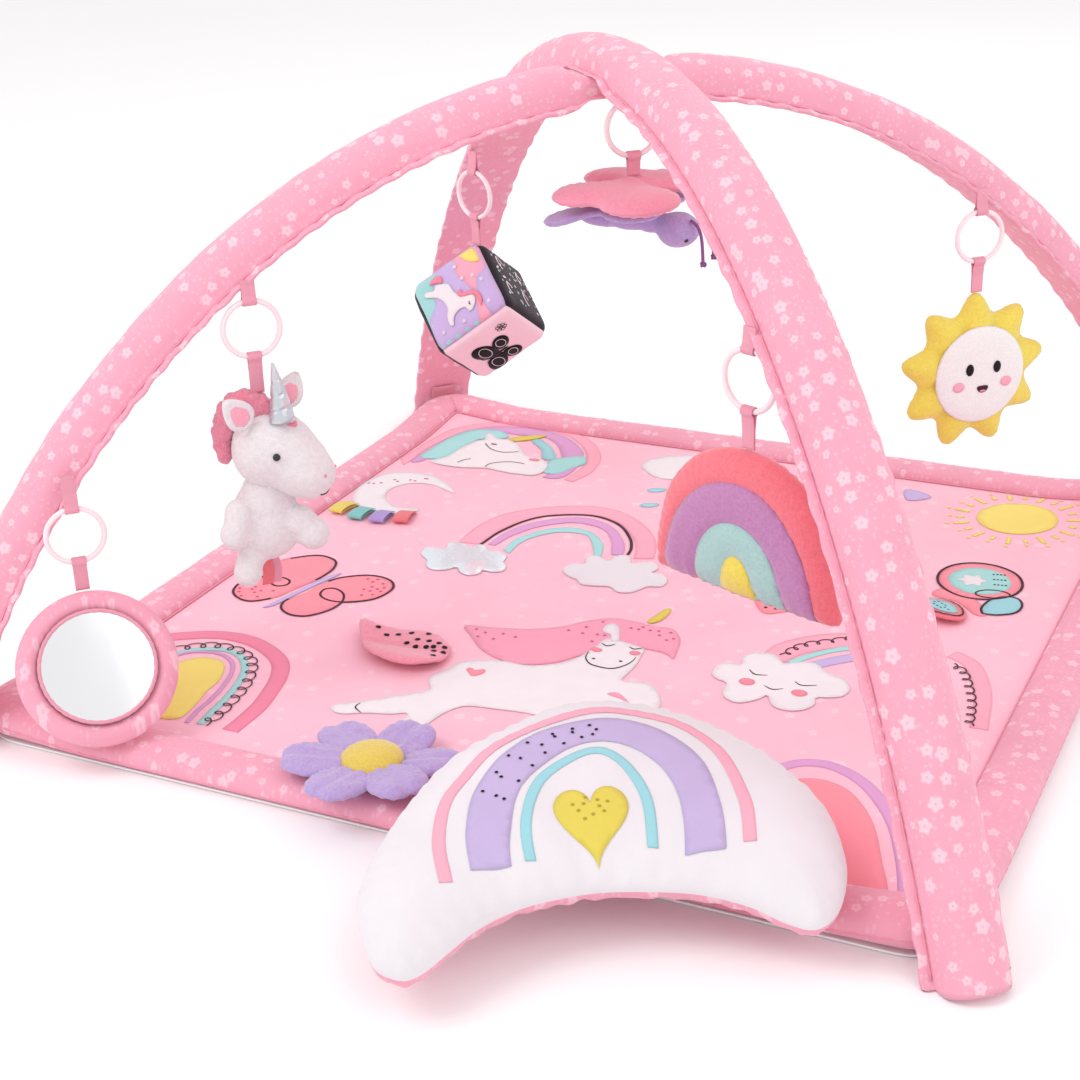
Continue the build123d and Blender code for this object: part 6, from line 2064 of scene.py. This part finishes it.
# horn: a satin cone with a spiral groove
hb = U(15, -78, 20)
V, F = [], []
nh, nk = 64, 28
HL = 0.052
for j in range(nh + 1):
    z = j / nh
    for i in range(nk):
        a = 2 * math.pi * i / nk
        r = 0.0108 * (1 - z) ** 0.9 + 0.0011
        r *= 1 - 0.12 * max(0.0, math.sin(a + z * 2 * math.pi * 4.2)) ** 6
        c = hb + t * 0.0 + UPV * (HL * z) - t * 0.004 * z * z
        V.append(c + (t * math.cos(a) + n * math.sin(a)) * r)
for j in range(nh):
    for i in range(nk):
        l = (i + 1) % nk
        F.append((j * nk + i, j * nk + l, (j + 1) * nk + l, (j + 1) * nk + i))
F.append(tuple(range(nk))[::-1])
F.append(tuple(nh * nk + i for i in range(nk)))
ob = add_mesh("pony_horn", V, F, [M["iridescent"]])
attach(ob, "unicorn_toy")
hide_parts("unicorn_horn")


def head_hit(y, z, x0):
    """Point on the head's surface, looking in from outside along the head's own axes."""
    ob = bpy.data.objects["pony_head"]
    o = Hh(x0[0], x0[1], x0[2])
    tgt = Hh(10, 0, 0)
    d = Vector(tgt - o).normalized()
    ok, loc, nor, _ = ob.ray_cast(Vector(o), d)
    return (np.array(loc), np.array(nor)) if ok else (o, np.array(-d))


bpy.context.view_layer.update()
for k, q in enumerate(((20, 14, 60), (22, 14, -60))):
    loc, nor = head_hit(0, 0, q)
    bead("pony_eye_" + str(k + 1), loc + nor * 0.0006, 0.0034, EYE, "unicorn_toy")
for k, q in enumerate(((75, -10, 17), (75, -10, -17))):
    loc, nor = head_hit(0, 0, q)
    bead("pony_nostril_" + str(k + 1), loc - nor * 0.0004, 0.0017, M["ink_blush"], "unicorn_toy")


def surface_thread(name, aim, obname, r=0.0006, mat="ink_grey"):
    """A stitched line lying on a plush form: each aim is a pair of points to look through."""
    ob = bpy.data.objects[obname]
    P = []
    for a, b in aim:
        d = Vector(b - a).normalized()
        ok, loc, nor, _ = ob.ray_cast(Vector(a), d)
        if ok:
            P.append(np.array(loc) + np.array(nor) * 0.0004)
    if len(P) < 3:
        return
    P = resample(catmull(np.array(P), 4, closed=False), 0.0012, closed=False)
    T = np.gradient(P, axis=0)
    T /= np.linalg.norm(T, axis=1)[:, None]
    up_ = np.array([0.31, 0.52, 0.79])
    N1 = np.cross(T, up_)
    N1 /= np.linalg.norm(N1, axis=1)[:, None]
    N2 = np.cross(T, N1)
    V, F = [], []
    for i in range(len(P)):
        for q in range(6):
            b = 2 * math.pi * q / 6
            V.append(P[i] + r * (N1[i] * math.cos(b) + N2[i] * math.sin(b)))
    for i in range(len(P) - 1):
        for q in range(6):
            l = (q + 1) % 6
            F.append((i * 6 + q, i * 6 + l, (i + 1) * 6 + l, (i + 1) * 6 + q))
    F.append(tuple(range(6))[::-1])
    F.append(tuple((len(P) - 1) * 6 + q for q in range(6)))
    ob = add_mesh(name, V, F, [M[mat]])
    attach(ob, "unicorn_toy")


aim = []
for a in np.linspace(-1.1, 1.1, 15):
    aim.append((Hh(75, -33 - 3.0 * math.cos(a * 1.4), 16 * math.sin(a)), Hh(10, -12, 4 * math.sin(a))))
surface_thread("pony_smile", aim, "pony_head", 0.0007, "ink_dark")

# coral tail strips
for k, (dx, dz) in enumerate(((-4, 3), (4, 1))):
    pts = [U(-2 + dx * 0.6, -203, dz - 6), U(-3 + dx * 0.8, -214, dz - 5), U(-2 + dx, -226, dz - 3), U(-4 + dx, -237, dz - 1)]
    ob = strip("pony_tail_" + str(k + 1), resample(catmull(np.array(pts), 5, closed=False), 0.002, closed=False), tuple(t), 0.010, 0.0008,
               M["coral_ribbon" if k == 0 else "ribbon"])
    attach(ob, "unicorn_toy")
    if k == 0:
        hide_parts("unicorn_tail")

# ============================================================ TUMMY PILLOW
PM = np.array([0.245, -0.600, 0.037])
pn_ = np.array([-0.51, 0.86, 0.0])
pn_ /= np.linalg.norm(pn_)
pc_ = np.array([pn_[1], -pn_[0], 0.0])
pz_ = np.array([-0.17 * pn_[0], -0.17 * pn_[1], 1.0])
pz_ /= np.linalg.norm(pz_)
py_ = np.cross(pz_, pc_)
OUT = [(-169, 99), (-166, 60), (-158, 30), (-140, 17), (-125, 22), (-110, 36), (-84, 60), (-54, 76), (-25, 83), (4, 86), (39, 83),
       (74, 76), (107, 60), (128, 42), (148, 33), (167, 47), (181, 80), (185, 111), (182, 149), (168, 185), (145, 222), (105, 262),
       (69, 284), (30, 295), (-11, 290), (-53, 268), (-95, 238), (-127, 195), (-151, 149)]
OUT = [(a / 1000, b / 1000) for a, b in OUT]


def rest(w):
    """Nothing sinks into the mat's edge or the floor."""
    w = w.copy()
    over = (np.abs(w[:, 0]) < 0.4508) & (np.abs(w[:, 1]) < 0.4508)
    edge = 0.4508 - np.maximum(np.abs(w[:, 0]), np.abs(w[:, 1]))
    lo = np.where(over, 0.0008 + (0.0250 - 0.0008) * smooth01(edge / 0.004), 0.0008)
    w[:, 2] = np.maximum(w[:, 2], lo)
    return w


def pil_place(p):
    w = PM + p[:, :1] * pc_ + p[:, 1:2] * py_ + p[:, 2:3] * pz_
    return rest(w)


def pil_wrinkle(uv, side):
    # soft radial creases from the inner curve
    a = np.arctan2(uv[:, 1] - 0.030, uv[:, 0])
    r = np.hypot(uv[:, 0], uv[:, 1] - 0.030)
    w = np.sin(a * 16 + 2.0 * vnoise(np.c_[a * 2.0, r * 3.0], 1.0, 2.0))
    near = np.exp(-np.clip(r - 0.06, 0, None) / 0.035)
    return 0.0026 * w * near + 0.0012 * np.sin(a * 9 + 4.0 * vnoise(np.c_[a * 3.0, r * 6.0], 1.0, 5.0)) * np.exp(-((r - 0.20) / 0.05) ** 2)


pil = Puff(catmull(OUT, 5), 0.0345, 0.0335, 0.060, pucker=0.0020, pucker_len=0.018, reach=0.016, soft=0.0022, seed=11.0,
           place=pil_place, valley=pil_wrinkle, crown=0.22)


def pil_idx(c, side):
    return np.full(len(c), 0 if side > 0 else 1)


ob = pil.build("pillow_soft", [M["white_cotton"], M["floral"]], step=0.0065, idx=pil_idx)
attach(ob, "pillow")
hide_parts("pillow_cover", "pillow_filling")
pa = Art("pillow_print", lambda P, l: pil.world(P, pil.height(P, 1) + 0.0005 + 0.0004 * l), "pillow", "white_cotton")
mmv = lambda L: [(a / 1000, b / 1000) for a, b in L]
pa.line("ink_rose", mmv([(-105, 81), (-108, 121), (-97, 172), (-60, 222), (-7, 251), (36, 256), (77, 239), (105, 200), (116, 144), (113, 98)]), 0.0095, 0)
outer = catmull(np.array(mmv([(-87, 92), (-88, 129), (-74, 183), (-33, 229), (16, 244), (60, 233), (91, 187), (98, 140), (96, 96)])), 8, closed=False)
inner = catmull(np.array(mmv([(-58, 97), (-57, 120), (-45, 168), (-12, 205), (16, 214), (48, 201), (66, 161), (69, 125), (66, 96)])), 8, closed=False)
pa.area("ink_violet", [tuple(p) for p in outer] + [tuple(p) for p in inner[::-1]], 0, smooth=False, step=0.006)
k_ = 0
for i in range(14, len(outer) // 2 + 3, 3):
    for f in (0.22, 0.5, 0.78):
        j = min(int(i * len(inner) / len(outer)), len(inner) - 1)
        q = outer[i] * (1 - f) + inner[j] * f
        q = q + np.array([0.0025 * math.sin(k_ * 2.7), 0.0025 * math.cos(k_ * 1.9)])
        pa.dot("ink_plain_black", q, 0.0015, 0.0013, k_ * 0.7, 2, n=10)
        k_ += 1
pa.line("ink_aqua", mmv([(-44, 101), (-44, 135), (-28, 178), (8, 203), (32, 190), (45, 150), (44, 103)]), 0.0080, 0)
hc_ = np.array([0.004, 0.134])
heart = []
for a in np.linspace(0, 2 * math.pi, 60, endpoint=False):
    heart.append((hc_[0] + 0.0275 * math.sin(a) ** 3, hc_[1] + 0.0024 * (13 * math.cos(a) - 5 * math.cos(2 * a) - 2 * math.cos(3 * a) - math.cos(4 * a))))
pa.area("ink_gold", heart, 0, smooth=False, step=0.005)
for k in range(10):
    a0 = k * 2.4
    pa.dot("ink_olive", (hc_[0] + 0.015 * math.cos(a0) * (0.4 + 0.06 * k), hc_[1] + 0.008 + 0.014 * math.sin(a0) * (0.4 + 0.06 * k)), 0.0014, lift=1, n=8)
pa.finish()
